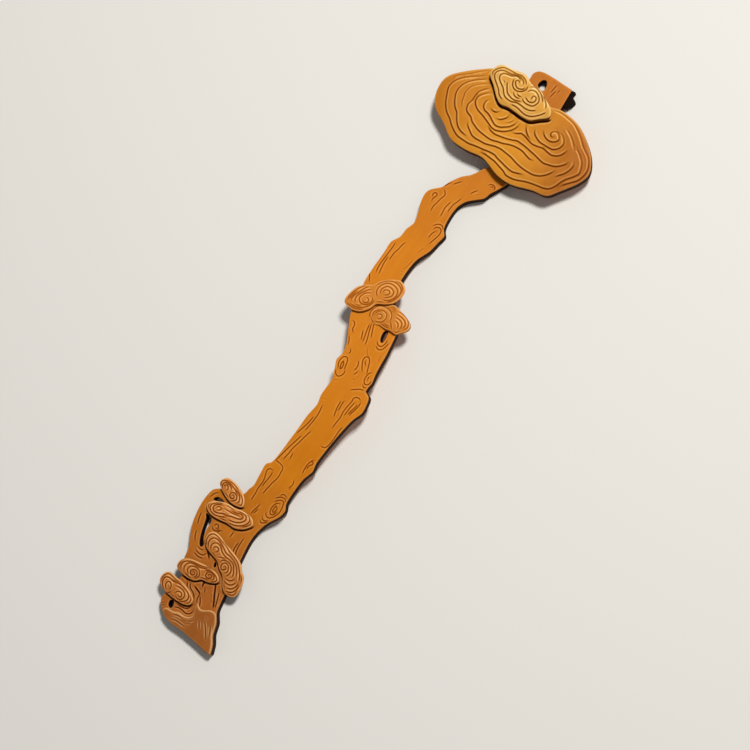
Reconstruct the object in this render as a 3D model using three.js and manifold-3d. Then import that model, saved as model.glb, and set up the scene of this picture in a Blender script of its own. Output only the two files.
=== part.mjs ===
// Carved bamboo ruyi scepter, lying on its back with its face up.
// A branch-shaped wooden core is dressed in thin bamboo skins, and carved fungus caps are glued
// and pinned on its face. Millimetres: +X runs from the root to the head, +Y towards the left
// edge of the branch and +Z out of the face.

import * as THREE from 'three';
import { mergeVertices } from 'three/addons/utils/BufferGeometryUtils.js';
import Module from 'manifold-3d';

const wasm = await Module();
wasm.setup();

// Length of the branch, from the tip of its root to the cut end of its stub
const branchLength = 403.5;

// Layers of the shaft, from its back to its face
const backSkin = 1.2;
const shaftCore = 6;
const faceSkin = 1.5;
const edgeStrip = 1.2;
const glueLine = 0.3;

// Arch of the shaft, between the flat stretches under the foot and under the head
const archRise = 14;
const footRest = 45;
const headRest = 57;
const archSteps = 16;

// Head cap: a crowned plate with a margin that falls to its rim, placed from the corner of the stub
const headFromStub = [-40, -7];
const headLength = 57.5;
const headWidth = 106.5;
const headBackSkin = 1.2;
const headRimHeight = 5;
const headRimBand = 1.2;
const headCrown = 3;
const headMargin = 7;
const headFaceSkin = 1.5;

// Small cap that lies over the upper edge of the head, placed from the middle of the head
const smallCapFromHead = [20, 6.5];
const smallCapLength = 22.5;
const smallCapWidth = 44.5;
const smallCapRimHeight = 3.2;
const smallCapCrown = 1.4;
const smallCapMargin = 4;
const smallCapSkin = 1.4;

// Growth rings cut into the faces of the head and of the small cap
const ringWidth = 0.9;
const ringDepth = 0.6;

// Flat caps of the collar and of the foot
const capBlank = 1.8;
const capSkin = 1.5;
const capUndercut = 0.6;
const sheathSkin = 1.5;

// Dowels and pins, with the play of their holes
const headDowelDiameter = 6;
const capDowelDiameter = 4;
const fungusPinDiameter = 2.5;
const dowelPlay = 0.3;
const woodUnderDowel = 3;
const woodOverDowel = 1;

// Bark on the right side of the stub behind the head
const barkSetIn = 0.6;

// How finely the curved outlines are followed
const edgeSpanSteps = 2;
const capSpanSteps = 3;
const ringSpanSteps = 4;
const dowelSides = 12;

// Outline of the branch, as points that its two edges pass through, from the root to the stub
const leftEdgePoints = [
  [-0.5, -1], [2.5, 18], [3, 28], [6, 35], [10, 39], [13.5, 40], [18, 38.5], [30.5, 36.5],
  [36, 38], [40, 41], [46.5, 42], [57.5, 47], [65.5, 49], [75.5, 49.5], [84.5, 47.5],
  [87.5, 43.5], [88.5, 37.5], [92, 30], [96.5, 28.5], [100.5, 27], [115, 27], [118, 24.5],
  [153.5, 20], [162, 18.5], [168, 19.5], [180, 19], [191, 23], [195.5, 22], [201.5, 23],
  [216.5, 30.5], [224.5, 33], [233, 34], [241, 35.5], [262, 35.5], [268.5, 35.5], [274, 32.5],
  [280, 32], [285.5, 30], [298.5, 33.5], [305, 34], [308.5, 32], [312.5, 27.5], [317.5, 25],
  [324, 20.5], [328, 16], [334, 12], [340, 8.5], [357.5, 8], [393.5, 16.5], [400, 16.5],
];
const stubEndPoints = [[403, 13.5]];
const rightEdgePoints = [
  [-0.5, -4.5], [5.5, -2.5], [10.5, 0.5], [17.5, 2.5], [23, 6], [28.5, 7], [65.5, 11.5],
  [75.5, 11], [85, 8], [91.5, 4], [97, 2.5], [101, 4], [119, 2.5], [126, 0], [131.5, 0.5],
  [165, -5], [171, -7.5], [181.5, -6], [183.5, -2.5], [189.5, -3], [195.5, -2], [226.5, 2.5],
  [237, 13], [251.5, 17], [267, 16], [275, 12.5], [282.5, 11], [288, 10], [291.5, 12.5],
  [306, 13], [313, 9.5], [320, 1.5], [324, 0], [334, -5.5], [354, -10], [375, -9.5], [403, -9],
];

// Plain stretches of the branch, where it is made longer or shorter than it is drawn here
const plainStretches = [[100.5, 180], [262, 312.5]];

// Openings pierced through the branch
const piercings = [
  { at: [397, 8], outline: [[-2, 2.5], [2, 1.5], [3, -0.5], [0.5, -2.5], [-3.5, -2]] },
  { at: [217.5, 6.5], outline: [[2.5, 1.5], [4, -0.5], [1, -1.5], [-4, -1.5], [-4, 0], [-0.5, 1.5]] },
  {
    at: [60.5, 39.5],
    outline: [
      [9.5, 4.5], [9, 0.5], [7, -1], [1.5, -1], [-3.5, -2], [-7.5, -4.5],
      [-9.5, -3.5], [-8.5, -2], [-3, 0.5], [3, 2], [7, 3],
    ],
  },
  { at: [81, 41], outline: [[-1.5, 3.5], [1, 2], [1.5, -1.5], [0.5, -3.5], [-1, 0]] },
  { at: [12.5, 32.5], outline: [[-1.5, 1.5], [1.5, 2], [2.5, 0], [-1, -1.5], [-2.5, -0.5]] },
  { at: [46.5, 22.5], outline: [[1.5, 1], [1.5, 0], [-1, -1], [-1.5, 0]] },
];

// Outlines of the caps, measured from the middle of each cap
const headOutline = [
  [-9.5, 50.5], [-1, 53.5], [7.5, 52.5], [17, 43.5], [28.5, 25.5], [29, 15.5], [27, 5.5],
  [25.5, -3.5], [23.5, -11], [25, -18.5], [23, -31], [17.5, -40.5], [8, -50], [-1.5, -53],
  [-18.5, -42.5], [-23.5, -38], [-25, -29], [-28.5, -16], [-28, -6], [-23.5, 7], [-24.5, 19],
  [-23.5, 30], [-17.5, 39], [-13, 47],
];
const headRings = [
  [[-2.5, 45.5], [-11, 40.5], [-20, 27], [-20.5, 18.5], [-18.5, 1], [-22, -13], [-20, -20]],
  [[-21.5, 9.5], [-22, -1], [-25.5, -11], [-25.5, -16], [-20, -37], [-2.5, -48.5], [4, -46.5], [11, -38]],
  [[2, 41.5], [-3.5, 39.5], [-14, 31], [-17, 26], [-17.5, 22]],
  [[-9.5, 26], [-13.5, 22], [-16, 16.5], [-13.5, 0], [-17.5, -21.5], [-15.5, -29], [-13, -32], [-8, -35]],
  [[3, 31], [-0.5, 31.5], [-4, 30.5], [-11, 18], [-12, 9], [-8, -6.5], [-9.5, -21]],
  [[6, 28.5], [3.5, 29], [1.5, 27.5], [-5, 13.5], [-5.5, 9.5], [-1, 1]],
  [[-0.5, -2], [0.5, -5.5], [-1.5, -14.5], [-0.5, -22], [-1.5, -28], [1, -33], [6.5, -35]],
  [[6, 23], [3, 23], [1.5, 21], [-3, 10.5], [-2.5, 7.5], [0.5, 2.5], [5.5, 0.5]],
  [[-7.5, 10], [-8, 8], [-4.5, -9], [-8, -26.5], [-6.5, -33.5], [-4, -36.5], [0.5, -39.5]],
  [[-12, -36.5], [-4.5, -42], [0, -43], [2.5, -41.5]],
  [[-9.5, -47], [-4, -50], [2.5, -50.5], [6, -49], [8, -47.5], [20.5, -30.5], [22.5, -20], [21.5, -15]],
  [[17, -27], [14, -33], [8, -38.5]],
  [[9, -16], [6.5, -18], [5, -22.5], [7, -26.5], [9, -27], [12, -24], [11.5, -22], [10, -21], [8, -22.5]],
  [[7, -11.5], [4.5, -12.5], [1.5, -18], [2, -27], [3.5, -29.5], [8, -31], [12.5, -27.5], [13.5, -24.5]],
];
const headDowelOffsets = { head_dowel_lower: [-13, -7.5], head_dowel_upper: [6, -6] };
const smallCapOutline = [
  [1, 22], [5.5, 22], [9.5, 19], [10.5, 11.5], [11.5, 3], [9, -1.5], [8, -5], [8, -9],
  [5, -14.5], [1, -21], [-3, -22.5], [-7.5, -17.5], [-11, -12.5], [-10.5, 2], [-11, 8], [-3.5, 17],
];
const smallCapRings = [
  [[-8.5, 7], [-6.5, 11], [0, 18], [3.5, 19.5], [5.5, 19], [7.5, 18], [8.5, 16.5], [8.5, 8]],
  [[7, 9], [6.5, 12.5], [3.5, 16], [-0.5, 14], [-7, 6], [-7.5, 1], [-6.5, -2], [-7, -7.5], [-3.5, -13.5]],
  [[2, 10], [-3, 7], [-4.5, 5], [-5, 3], [-4, -2]],
  [[3.5, 7.5], [1, 4.5], [0.5, 2.5], [1.5, 0], [4, -2.5]],
  [[5.5, 6.5], [2.5, 4], [2, 2], [4.5, -0.5], [6.5, 0.5], [7.5, 2.5], [6.5, 4], [4.5, 4]],
  [[-8.5, -5], [-9, -11], [-8.5, -13.5], [-3, -19], [-1.5, -19.5]],
  [[-2.5, -4], [-3.5, -7], [-3, -9.5], [0, -12], [2.5, -11.5], [4, -10], [4.5, -7]],
];
const smallCapDowelOffset = [-4, 1];
const flatCaps = [
  {
    name: 'collar_upper',
    at: [236, 24.5],
    pinOffset: [0, 0],
    outline: [
      [-13, 13.5], [-3, 12.5], [2, 8.5], [4.5, 4.5], [9, 1.5], [15, -8], [12.5, -13],
      [8.5, -14.5], [1.5, -12.5], [-2, -8.5], [-4.5, -4], [-9, -2], [-13.5, 2], [-15, 8],
    ],
  },
  {
    name: 'collar_lower',
    at: [228, 7.5],
    pinOffset: [-1, 6.5],
    outline: [
      [-4, 14], [-1.5, 14.5], [3, 12.5], [5.5, 8], [8.5, 4], [7.5, -1.5], [6, -6.5], [3.5, -11], [1.5, -12],
      [-1, -11.5], [-4, -9], [-6, -7], [-6, -3], [-6.5, 0.5], [-6.5, 5], [-8, 9], [-6.5, 12],
    ],
  },
  {
    name: 'fungus_1',
    at: [89.5, 35.5],
    pinOffset: [-2.5, -3],
    outline: [
      [0.5, 9.5], [3.5, 9.5], [6, 7], [6, 1.5], [3.5, -5], [0, -9], [-4, -10], [-5.5, -7], [-5.5, -1],
    ],
  },
  {
    name: 'fungus_2',
    at: [77.5, 29.5],
    pinOffset: [0, -1.5],
    outline: [
      [-3.5, 15.5], [-0.5, 15.5], [4.5, 6.5], [5, 0], [6, -7], [5, -13],
      [2, -15], [-3, -11.5], [-5.5, -6.5], [-5.5, -0.5], [-6.5, 6.5], [-6, 12],
    ],
  },
  {
    name: 'fungus_3',
    at: [49.5, 18],
    pinOffset: [5, 3],
    outline: [
      [8, 17.5], [11.5, 17.5], [14, 15], [14, 11], [11.5, 4.5], [10, -1.5], [6.5, -9.5], [3, -12.5],
      [0.5, -15.5], [-6, -17.5], [-12, -17], [-14, -13.5], [-12.5, -8.5], [-5.5, -3.5], [-3, 0.5],
      [0, 4], [3.5, 14],
    ],
  },
  {
    name: 'fungus_4',
    at: [38, 27.5],
    pinOffset: [1, -2.5],
    outline: [
      [-4, 14], [0, 14], [3.5, 10.5], [5.5, -8.5], [3, -12.5],
      [0.5, -12.5], [-2, -8.5], [-3, -3.5], [-6, 0.5], [-6, 10.5],
    ],
  },
  {
    name: 'fungus_5',
    at: [22.5, 34],
    pinOffset: [-1, -6],
    outline: [[-1, 12], [3, 12], [6, 9.5], [5.5, 3.5], [5, -2], [0, -12], [-4, -12], [-6, -8], [-4.5, 8]],
  },
];
const sheathAt = [12, 14];
const sheathOutline = [
  [-3.5, 20.5], [-2.5, 18.5], [-2.5, 16], [-2, 14], [-1, 12], [-1, 7], [0.5, 4], [3, 3.5], [7, 5], [10, 4.5],
  [8, 2], [8, 0], [10.5, -4.5], [10.5, -8], [5.5, -11.5], [-1.5, -13.5], [-6.5, -16.5], [-12, -18],
  [-12, -15], [-10.5, -5], [-9.5, 4], [-9, 14], [-6, 20.5],
];

// Jagged outer side of the bark: how far back from the stub's end, and how far out from its side
const barkTeeth = [[0, 2], [3, 1.6], [5, 5], [8, 4.2], [11, 2]];

// A point of the drawn branch, moved along as the plain stretches take up a change of length
const spanOf = (values) => Math.max(...values) - Math.min(...values);
const drawnLength = spanOf([...leftEdgePoints, ...rightEdgePoints].map(([along]) => along));
const plainLength = plainStretches.reduce((total, [from, to]) => total + to - from, 0);
const growth = (branchLength - drawnLength) / plainLength;

function onBranch([along, across]) {
  const moves = plainStretches.map(([from, to]) => growth * (THREE.MathUtils.clamp(along, from, to) - from));
  return [along + moves.reduce((total, move) => total + move), across];
}

// How the points of a cap are spread to bring its outline to a length and a width
function spreadTo(outline, length, width) {
  const lengthwise = length / spanOf(outline.map(([along]) => along));
  const crosswise = width / spanOf(outline.map(([, across]) => across));
  return ([along, across]) => [along * lengthwise, across * crosswise];
}

// Middles of the head and of the small cap
const offsetFrom = ([along, across], [forward, left]) => [along + forward, across + left];
const headAt = offsetFrom(onBranch(stubEndPoints[0]), headFromStub);
const smallCapAt = offsetFrom(headAt, smallCapFromHead);

// Heights of the layers above the back, before the arch lifts them
const coreBottom = backSkin + glueLine;
const coreTop = coreBottom + shaftCore;
const faceBottom = coreTop + glueLine;
const faceTop = faceBottom + faceSkin;
const capSeat = faceTop + glueLine;
const capBlankTop = capSeat + capBlank;
const capSkinBottom = capBlankTop + glueLine;
const headCoreBottom = capSeat + headBackSkin + glueLine;
const headRimTop = headCoreBottom + headRimHeight;
const headFaceRim = headRimTop + glueLine;
const smallCapSeat = headFaceRim + headCrown + headFaceSkin + glueLine;
const smallCapRimTop = smallCapSeat + smallCapRimHeight;

const archStart = footRest;
const archEnd = headAt[0] - headRest;

// Bodies that only cut stand proud of what they cut by the thickness of the shaft
const overcut = faceTop;

function archHeight(along) {
  const share = THREE.MathUtils.clamp((along - archStart) / (archEnd - archStart), 0, 1);
  return archRise * Math.sin(Math.PI * share) ** 2;
}

// A solid from a closed geometry, and back again
function solidOf(geometry) {
  geometry.deleteAttribute('normal');
  geometry.deleteAttribute('uv');
  const merged = mergeVertices(geometry);
  const vertProperties = merged.attributes.position.array;
  const triVerts = Uint32Array.from(merged.index.array);
  return new wasm.Manifold(new wasm.Mesh({ numProp: 3, vertProperties, triVerts }));
}

function geometryOf(solid) {
  const { vertProperties, triVerts } = solid.getMesh();
  const geometry = new THREE.BufferGeometry();
  geometry.setAttribute('position', new THREE.BufferAttribute(vertProperties, 3));
  geometry.setIndex(new THREE.BufferAttribute(triVerts, 1));
  geometry.computeVertexNormals();
  return geometry;
}

// A smooth line through the given points, as a list of 2-D points
function smoothLine(points, closed, spanSteps) {
  const curve = new THREE.CatmullRomCurve3(
    points.map(([along, across]) => new THREE.Vector3(along, across, 0)),
    closed,
    'centripetal',
  );
  const spans = closed ? points.length : points.length - 1;
  const line = curve.getPoints(spans * spanSteps).map(({ x, y }) => new THREE.Vector2(x, y));
  if (closed) {
    line.pop();
  }
  return line;
}

function capLoop(outline, [along, across]) {
  const middle = new THREE.Vector2(along, across);
  const loop = smoothLine(outline, true, capSpanSteps).map((point) => point.add(middle));
  return THREE.ShapeUtils.isClockWise(loop) ? loop.reverse() : loop;
}

// A counterclockwise loop drawn in by a distance, or let out by a negative one
function insetLoop(loop, distance) {
  return loop.map((point, index) => {
    const before = loop[(index + loop.length - 1) % loop.length];
    const after = loop[(index + 1) % loop.length];
    const arriving = point.clone().sub(before).normalize();
    const leaving = after.clone().sub(point).normalize();
    const inward = new THREE.Vector2(-arriving.y - leaving.y, arriving.x + leaving.x).normalize();
    const widening = Math.max(0.5, -inward.x * leaving.y + inward.y * leaving.x);
    return point.clone().addScaledVector(inward, distance / widening);
  });
}

// A bent sheet: the loop, less its holes, cut from an arched slab between two heights
function bentPlate(loop, low, high, holes = []) {
  const shape = new THREE.Shape(loop);
  shape.holes = holes.map((hole) => new THREE.Path(hole));
  const prism = new THREE.ExtrudeGeometry(shape, {
    depth: high - low + archRise + 2 * overcut,
    bevelEnabled: false,
  });
  prism.translate(0, 0, low - overcut);
  return solidOf(prism).intersect(archedSlab(loop, low, high));
}

function archedSlab(loop, low, high) {
  const extent = new THREE.Box2().setFromPoints(loop).expandByScalar(overcut);
  const stations = [extent.min.x];
  for (let step = 0; step <= archSteps; step += 1) {
    const station = THREE.MathUtils.lerp(archStart, archEnd, step / archSteps);
    if (station > extent.min.x && station < extent.max.x) {
      stations.push(station);
    }
  }
  stations.push(extent.max.x);
  const side = (level) => stations.map((along) => new THREE.Vector2(along, level + slabHeight(along)));
  const slab = new THREE.ExtrudeGeometry(new THREE.Shape([...side(low), ...side(high).reverse()]), {
    depth: extent.max.y - extent.min.y,
    bevelEnabled: false,
  });
  slab.rotateX(Math.PI / 2);
  slab.translate(0, extent.max.y, 0);
  return solidOf(slab);
}

// The arch as straight steps between its stations, so that neighbouring layers stay parallel
function slabHeight(along) {
  const share = THREE.MathUtils.clamp((along - archStart) / (archEnd - archStart), 0, 1) * archSteps;
  const step = Math.min(Math.floor(share), archSteps - 1);
  const ends = [step, step + 1].map((count) => THREE.MathUtils.lerp(archStart, archEnd, count / archSteps));
  return THREE.MathUtils.lerp(archHeight(ends[0]), archHeight(ends[1]), share - step);
}

// A closed skin over a stack of loops with equal counts of points, from the lowest cap to the highest
function stackedLoops(levels) {
  const count = levels[0].loop.length;
  const positions = levels.flatMap(({ loop, height }) => loop.flatMap(({ x, y }) => [x, y, height]));
  const faces = [];
  for (let level = 0; level < levels.length - 1; level += 1) {
    for (let index = 0; index < count; index += 1) {
      const here = level * count + index;
      const next = level * count + ((index + 1) % count);
      faces.push(here, next, next + count, here, next + count, here + count);
    }
  }
  const last = (levels.length - 1) * count;
  for (const [a, b, c] of THREE.ShapeUtils.triangulateShape(levels[0].loop, [])) {
    faces.push(c, b, a);
  }
  for (const [a, b, c] of THREE.ShapeUtils.triangulateShape(levels.at(-1).loop, [])) {
    faces.push(last + a, last + b, last + c);
  }
  const geometry = new THREE.BufferGeometry();
  geometry.setAttribute('position', new THREE.Float32BufferAttribute(positions, 3));
  geometry.setIndex(faces);
  return solidOf(geometry);
}

// A loop whose points are drawn straight towards its middle by a distance
function drawnIn(loop, middle, distance) {
  return loop.map((point) => point.clone().addScaledVector(middle.clone().sub(point).normalize(), distance));
}

// The falling margin of a crowned cap, as loops from its rim inwards
function crownLevels(loop, { middle, margin, crown }, rimHeight) {
  return [0, 0.5, 1].map((share) => ({
    loop: drawnIn(loop, middle, margin * share),
    height: rimHeight + crown * Math.sin((Math.PI / 2) * share),
  }));
}

function crownedBlank(loop, form, bottom, rimHeight) {
  return stackedLoops([{ loop, height: bottom }, ...crownLevels(loop, form, rimHeight)]);
}

function crownedSkin(loop, form, rimHeight, skin) {
  const under = crownLevels(loop, form, rimHeight);
  const over = crownLevels(loop, form, rimHeight + skin);
  return stackedLoops([...under.reverse(), ...over]);
}

// A band of even width along a line
function bandAlong(line, width) {
  const sides = line.map((point, index) => {
    const before = line[Math.max(index - 1, 0)];
    const after = line[Math.min(index + 1, line.length - 1)];
    const heading = after.clone().sub(before).setLength(width / 2);
    return new THREE.Vector2(-heading.y, heading.x);
  });
  const right = line.map((point, index) => point.clone().sub(sides[index]));
  const left = line.map((point, index) => point.clone().add(sides[index]));
  return [...right, ...left.reverse()];
}

// Growth rings cut into a crowned skin, down to a floor that follows its crown
function ringed(skin, rings, middle, floor, low) {
  return rings.reduce((carved, ring) => {
    const line = smoothLine(ring, false, ringSpanSteps).map((point) => point.add(middle));
    const prism = new THREE.ExtrudeGeometry(new THREE.Shape(bandAlong(line, ringWidth)), {
      depth: overcut,
      bevelEnabled: false,
    });
    prism.translate(0, 0, low);
    return carved.subtract(solidOf(prism).subtract(floor));
  }, skin);
}

// An upright round bar at a spot of the plan, between two heights above the lifted back
function roundBar([along, across], diameter, low, high) {
  const bar = new THREE.CylinderGeometry(diameter / 2, diameter / 2, high - low, dowelSides);
  bar.rotateX(Math.PI / 2);
  bar.translate(along, across, (low + high) / 2 + slabHeight(along));
  return solidOf(bar);
}

// A dowel across a seat, and the hole that takes it with play all round
function dowelAt(spot, diameter, low, high) {
  return {
    bar: roundBar(spot, diameter, low, high),
    hole: roundBar(spot, diameter + 2 * dowelPlay, low - dowelPlay, high + dowelPlay),
  };
}

const finishes = {
  bamboo: { color: 0xd98428, roughness: 0.45, metalness: 0 },
  paleBamboo: { color: 0xe0a850, roughness: 0.42, metalness: 0 },
  warmBamboo: { color: 0xbf6f32, roughness: 0.5, metalness: 0 },
  wood: { color: 0x6b3a1c, roughness: 0.7, metalness: 0 },
  bark: { color: 0x23140c, roughness: 0.9, metalness: 0 },
};

const scepter = new THREE.Group();

function addPiece(name, solid, finish) {
  const mesh = new THREE.Mesh(geometryOf(solid), new THREE.MeshStandardMaterial(finishes[finish]));
  mesh.name = name;
  scepter.add(mesh);
}

// Outline of the branch: right edge out to the stub, across its cut end, left edge back to the root
const rightEdge = smoothLine(rightEdgePoints.map(onBranch), false, edgeSpanSteps);
const leftEdge = smoothLine(leftEdgePoints.map(onBranch), false, edgeSpanSteps);
const stubEnd = stubEndPoints.map((point) => new THREE.Vector2(...onBranch(point)));
const branchLoop = [...rightEdge, ...stubEnd, ...leftEdge.toReversed()];
const pierced = piercings.map(({ outline, at }) => capLoop(outline, onBranch(at)).reverse());

// Dowels that stand in the shaft, with the caps that they hold
const headDowels = Object.entries(headDowelOffsets).map(([name, offset]) => ({
  name,
  ...dowelAt(
    offsetFrom(headAt, offset),
    headDowelDiameter,
    coreBottom + woodUnderDowel,
    headRimTop - woodOverDowel,
  ),
}));
const caps = flatCaps.map((cap) => {
  const isCollar = cap.name.startsWith('collar');
  const middle = onBranch(cap.at);
  const spot = offsetFrom(middle, cap.pinOffset);
  const diameter = isCollar ? capDowelDiameter : fungusPinDiameter;
  return {
    ...cap,
    middle,
    finish: isCollar ? 'bamboo' : 'warmBamboo',
    ...dowelAt(spot, diameter, coreBottom + woodUnderDowel, capBlankTop - woodOverDowel),
  };
});
const shaftHoles = [...headDowels, ...caps].map(({ hole }) => hole);

function drilled(solid, holes) {
  return holes.reduce((drilledSolid, hole) => drilledSolid.subtract(hole), solid);
}

// Shaft: core, face, back and the strips along its edges
const stripInner = insetLoop(branchLoop, edgeStrip);
const coreLoop = insetLoop(branchLoop, edgeStrip + glueLine);
addPiece('shaft_core', drilled(bentPlate(coreLoop, coreBottom, coreTop, pierced), shaftHoles), 'wood');
addPiece('shaft_face', drilled(bentPlate(branchLoop, faceBottom, faceTop, pierced), shaftHoles), 'bamboo');
addPiece('shaft_back', bentPlate(branchLoop, 0, backSkin, pierced), 'bamboo');

// A strip along part of the outline, drawn back a little at its ends from the next strip
function addEdgeStrip(name, first, last) {
  const outer = shortened(branchLoop.slice(first, last + 1));
  const inner = shortened(stripInner.slice(first, last + 1));
  addPiece(name, bentPlate([...outer, ...inner.reverse()], coreBottom, coreTop), 'bamboo');
}

function shortened(line) {
  const drawn = line.map((point) => point.clone());
  drawn[0].addScaledVector(line[1].clone().sub(line[0]).normalize(), glueLine);
  drawn.at(-1).addScaledVector(line.at(-2).clone().sub(line.at(-1)).normalize(), glueLine);
  return drawn;
}

const stubRight = rightEdge.length - 1;
const stubLeft = stubRight + stubEnd.length + 1;
addEdgeStrip('shaft_edge_right', 0, stubRight);
addEdgeStrip('stub_end_strip', stubRight, stubLeft);
addEdgeStrip('shaft_edge_left', stubLeft, branchLoop.length - 1);

// Bark along the right side of the stub, down to its jagged outer side
const barkEnd = rightEdge.at(-1);
const barkSide = rightEdge.at(-2).clone().sub(barkEnd).normalize();
const barkOut = new THREE.Vector2(-barkSide.y, barkSide.x);
const barkLength = barkTeeth.at(-1)[0];
const barkLoop = [[barkLength, glueLine], ...barkTeeth.toReversed(), [0, glueLine]].map(([back, out]) =>
  barkEnd.clone().addScaledVector(barkSide, back).addScaledVector(barkOut, out),
);
addPiece('stub_bark', bentPlate(barkLoop, barkSetIn, faceTop - barkSetIn), 'bark');

// Root sheath, a second skin over the foot
const sheathLoop = capLoop(sheathOutline, onBranch(sheathAt));
addPiece('root_sheath', bentPlate(sheathLoop, capSeat, capSeat + sheathSkin), 'warmBamboo');

// Head cap
const headSpread = spreadTo(headOutline, headLength, headWidth);
const headLoop = capLoop(headOutline.map(headSpread), headAt);
const headRimInner = insetLoop(headLoop, headRimBand);
const headCoreLoop = insetLoop(headLoop, headRimBand + glueLine);
const smallCapDowel = dowelAt(
  offsetFrom(smallCapAt, smallCapDowelOffset),
  capDowelDiameter,
  headCoreBottom + woodUnderDowel,
  smallCapRimTop - woodOverDowel,
);
const headHoles = headDowels.map(({ hole }) => hole);
const headForm = { middle: new THREE.Vector2(...headAt), margin: headMargin, crown: headCrown };
const headBlank = crownedBlank(headCoreLoop, headForm, headCoreBottom, headRimTop);
const headSkin = crownedSkin(headLoop, headForm, headFaceRim, headFaceSkin);
const headRingTop = headFaceRim + headFaceSkin - ringDepth;
const headRingFloor = crownedBlank(headLoop, headForm, headCoreBottom, headRingTop);
const headRingLines = headRings.map((ring) => ring.map(headSpread));
const headFace = ringed(headSkin, headRingLines, headForm.middle, headRingFloor, headFaceRim);
addPiece('head_back', drilled(bentPlate(headLoop, capSeat, capSeat + headBackSkin), headHoles), 'bamboo');
addPiece('head_core', drilled(headBlank, [...headHoles, smallCapDowel.hole]), 'wood');
addPiece('head_rim', bentPlate(headLoop, headCoreBottom, headRimTop, [headRimInner.reverse()]), 'bamboo');
addPiece('head_face', drilled(headFace, [smallCapDowel.hole]), 'paleBamboo');
for (const { name, bar } of headDowels) {
  addPiece(name, bar, 'wood');
}

// Small cap over the head
const smallSpread = spreadTo(smallCapOutline, smallCapLength, smallCapWidth);
const smallCapLoop = capLoop(smallCapOutline.map(smallSpread), smallCapAt);
const smallBlankLoop = insetLoop(smallCapLoop, capUndercut);
const smallMiddle = new THREE.Vector2(...smallCapAt);
const smallCapForm = { middle: smallMiddle, margin: smallCapMargin, crown: smallCapCrown };
const smallBlank = crownedBlank(smallBlankLoop, smallCapForm, smallCapSeat, smallCapRimTop);
const smallFaceRim = smallCapRimTop + glueLine;
const smallSkin = crownedSkin(smallCapLoop, smallCapForm, smallFaceRim, smallCapSkin);
const smallRingTop = smallFaceRim + smallCapSkin - ringDepth;
const smallRingFloor = crownedBlank(smallCapLoop, smallCapForm, smallCapSeat, smallRingTop);
const smallRingLines = smallCapRings.map((ring) => ring.map(smallSpread));
addPiece('small_cap_core', drilled(smallBlank, [smallCapDowel.hole]), 'wood');
addPiece(
  'small_cap_face',
  ringed(smallSkin, smallRingLines, smallMiddle, smallRingFloor, smallFaceRim),
  'paleBamboo',
);
addPiece('small_cap_dowel', smallCapDowel.bar, 'wood');

// Flat caps of the collar and of the foot, each a blank with a carved skin and a pin
for (const { name, outline, middle, finish, bar, hole } of caps) {
  const loop = capLoop(outline, middle);
  const blank = bentPlate(insetLoop(loop, capUndercut), capSeat, capBlankTop);
  addPiece(`${name}_core`, drilled(blank, [hole]), 'wood');
  addPiece(`${name}_face`, bentPlate(loop, capSkinBottom, capSkinBottom + capSkin), finish);
  addPiece(`${name}_${name.startsWith('collar') ? 'dowel' : 'pin'}`, bar, 'wood');
}

// The origin is under the middle of the scepter, on the surface that it lies on
const extent = new THREE.Box3().setFromObject(scepter);
const centre = extent.getCenter(new THREE.Vector3());
scepter.position.set(-centre.x, -centre.y, -extent.min.z);

export default scepter;
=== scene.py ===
import math

import bmesh
import bpy
import numpy as np
from mathutils import Matrix, Vector, kdtree
from mathutils.bvhtree import BVHTree
from mathutils.geometry import delaunay_2d_cdt


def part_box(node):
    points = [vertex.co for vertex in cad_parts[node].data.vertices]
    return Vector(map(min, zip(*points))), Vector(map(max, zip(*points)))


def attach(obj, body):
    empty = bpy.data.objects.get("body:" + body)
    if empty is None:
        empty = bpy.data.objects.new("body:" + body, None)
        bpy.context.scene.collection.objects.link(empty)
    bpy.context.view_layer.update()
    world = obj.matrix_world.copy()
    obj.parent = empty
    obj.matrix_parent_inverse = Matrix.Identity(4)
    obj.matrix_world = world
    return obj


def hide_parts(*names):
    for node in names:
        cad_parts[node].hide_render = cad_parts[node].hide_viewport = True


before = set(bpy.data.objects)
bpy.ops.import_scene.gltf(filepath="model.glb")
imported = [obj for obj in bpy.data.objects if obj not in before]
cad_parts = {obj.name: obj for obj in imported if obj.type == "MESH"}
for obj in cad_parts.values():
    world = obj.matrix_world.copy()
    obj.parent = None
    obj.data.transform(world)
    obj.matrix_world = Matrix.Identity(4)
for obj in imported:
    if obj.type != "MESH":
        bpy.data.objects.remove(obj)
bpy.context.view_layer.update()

mm = 0.001

# The scepter lies on its back, root towards -X and head towards +X, with its carved face up.
# Heights are those of the straightened branch; the arch of the shaft is added to them at the end.

glueLine = 0.3 * mm
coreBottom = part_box("shaft_core")[0].z
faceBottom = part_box("shaft_face")[0].z
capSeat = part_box("root_sheath")[0].z
backTop = coreBottom - glueLine
faceTop = capSeat - glueLine
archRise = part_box("shaft_face")[1].z - faceTop

floorReach = 1e-6  # what is this close to the floor lies on it
restingX = [v.co.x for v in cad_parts["shaft_back"].data.vertices if abs(v.co.z) < floorReach]
archStart = max(x for x in restingX if x < 0)
archEnd = min(x for x in restingX if x > 0)
print("frame: arch from", round(archStart, 4), "to", round(archEnd, 4), "rise", round(archRise, 4))


def archLift(x):
    share = np.clip((x - archStart) / (archEnd - archStart), 0, 1)
    return archRise * np.sin(math.pi * share) ** 2


# Camera: above the face, leaning to the right edge of the branch, turned so that the root points down left
cameraSet = {
    "target": Vector((-6.27, -6.83, 13)) * mm,
    "lean": math.radians(12),
    "turn": math.radians(58),
    "distance": 1.5,
    "pixelSize": 0.6 * mm,  # width of one photo pixel at the target
    "photoSize": 750,
    "clipEnd": 20,
}


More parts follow.
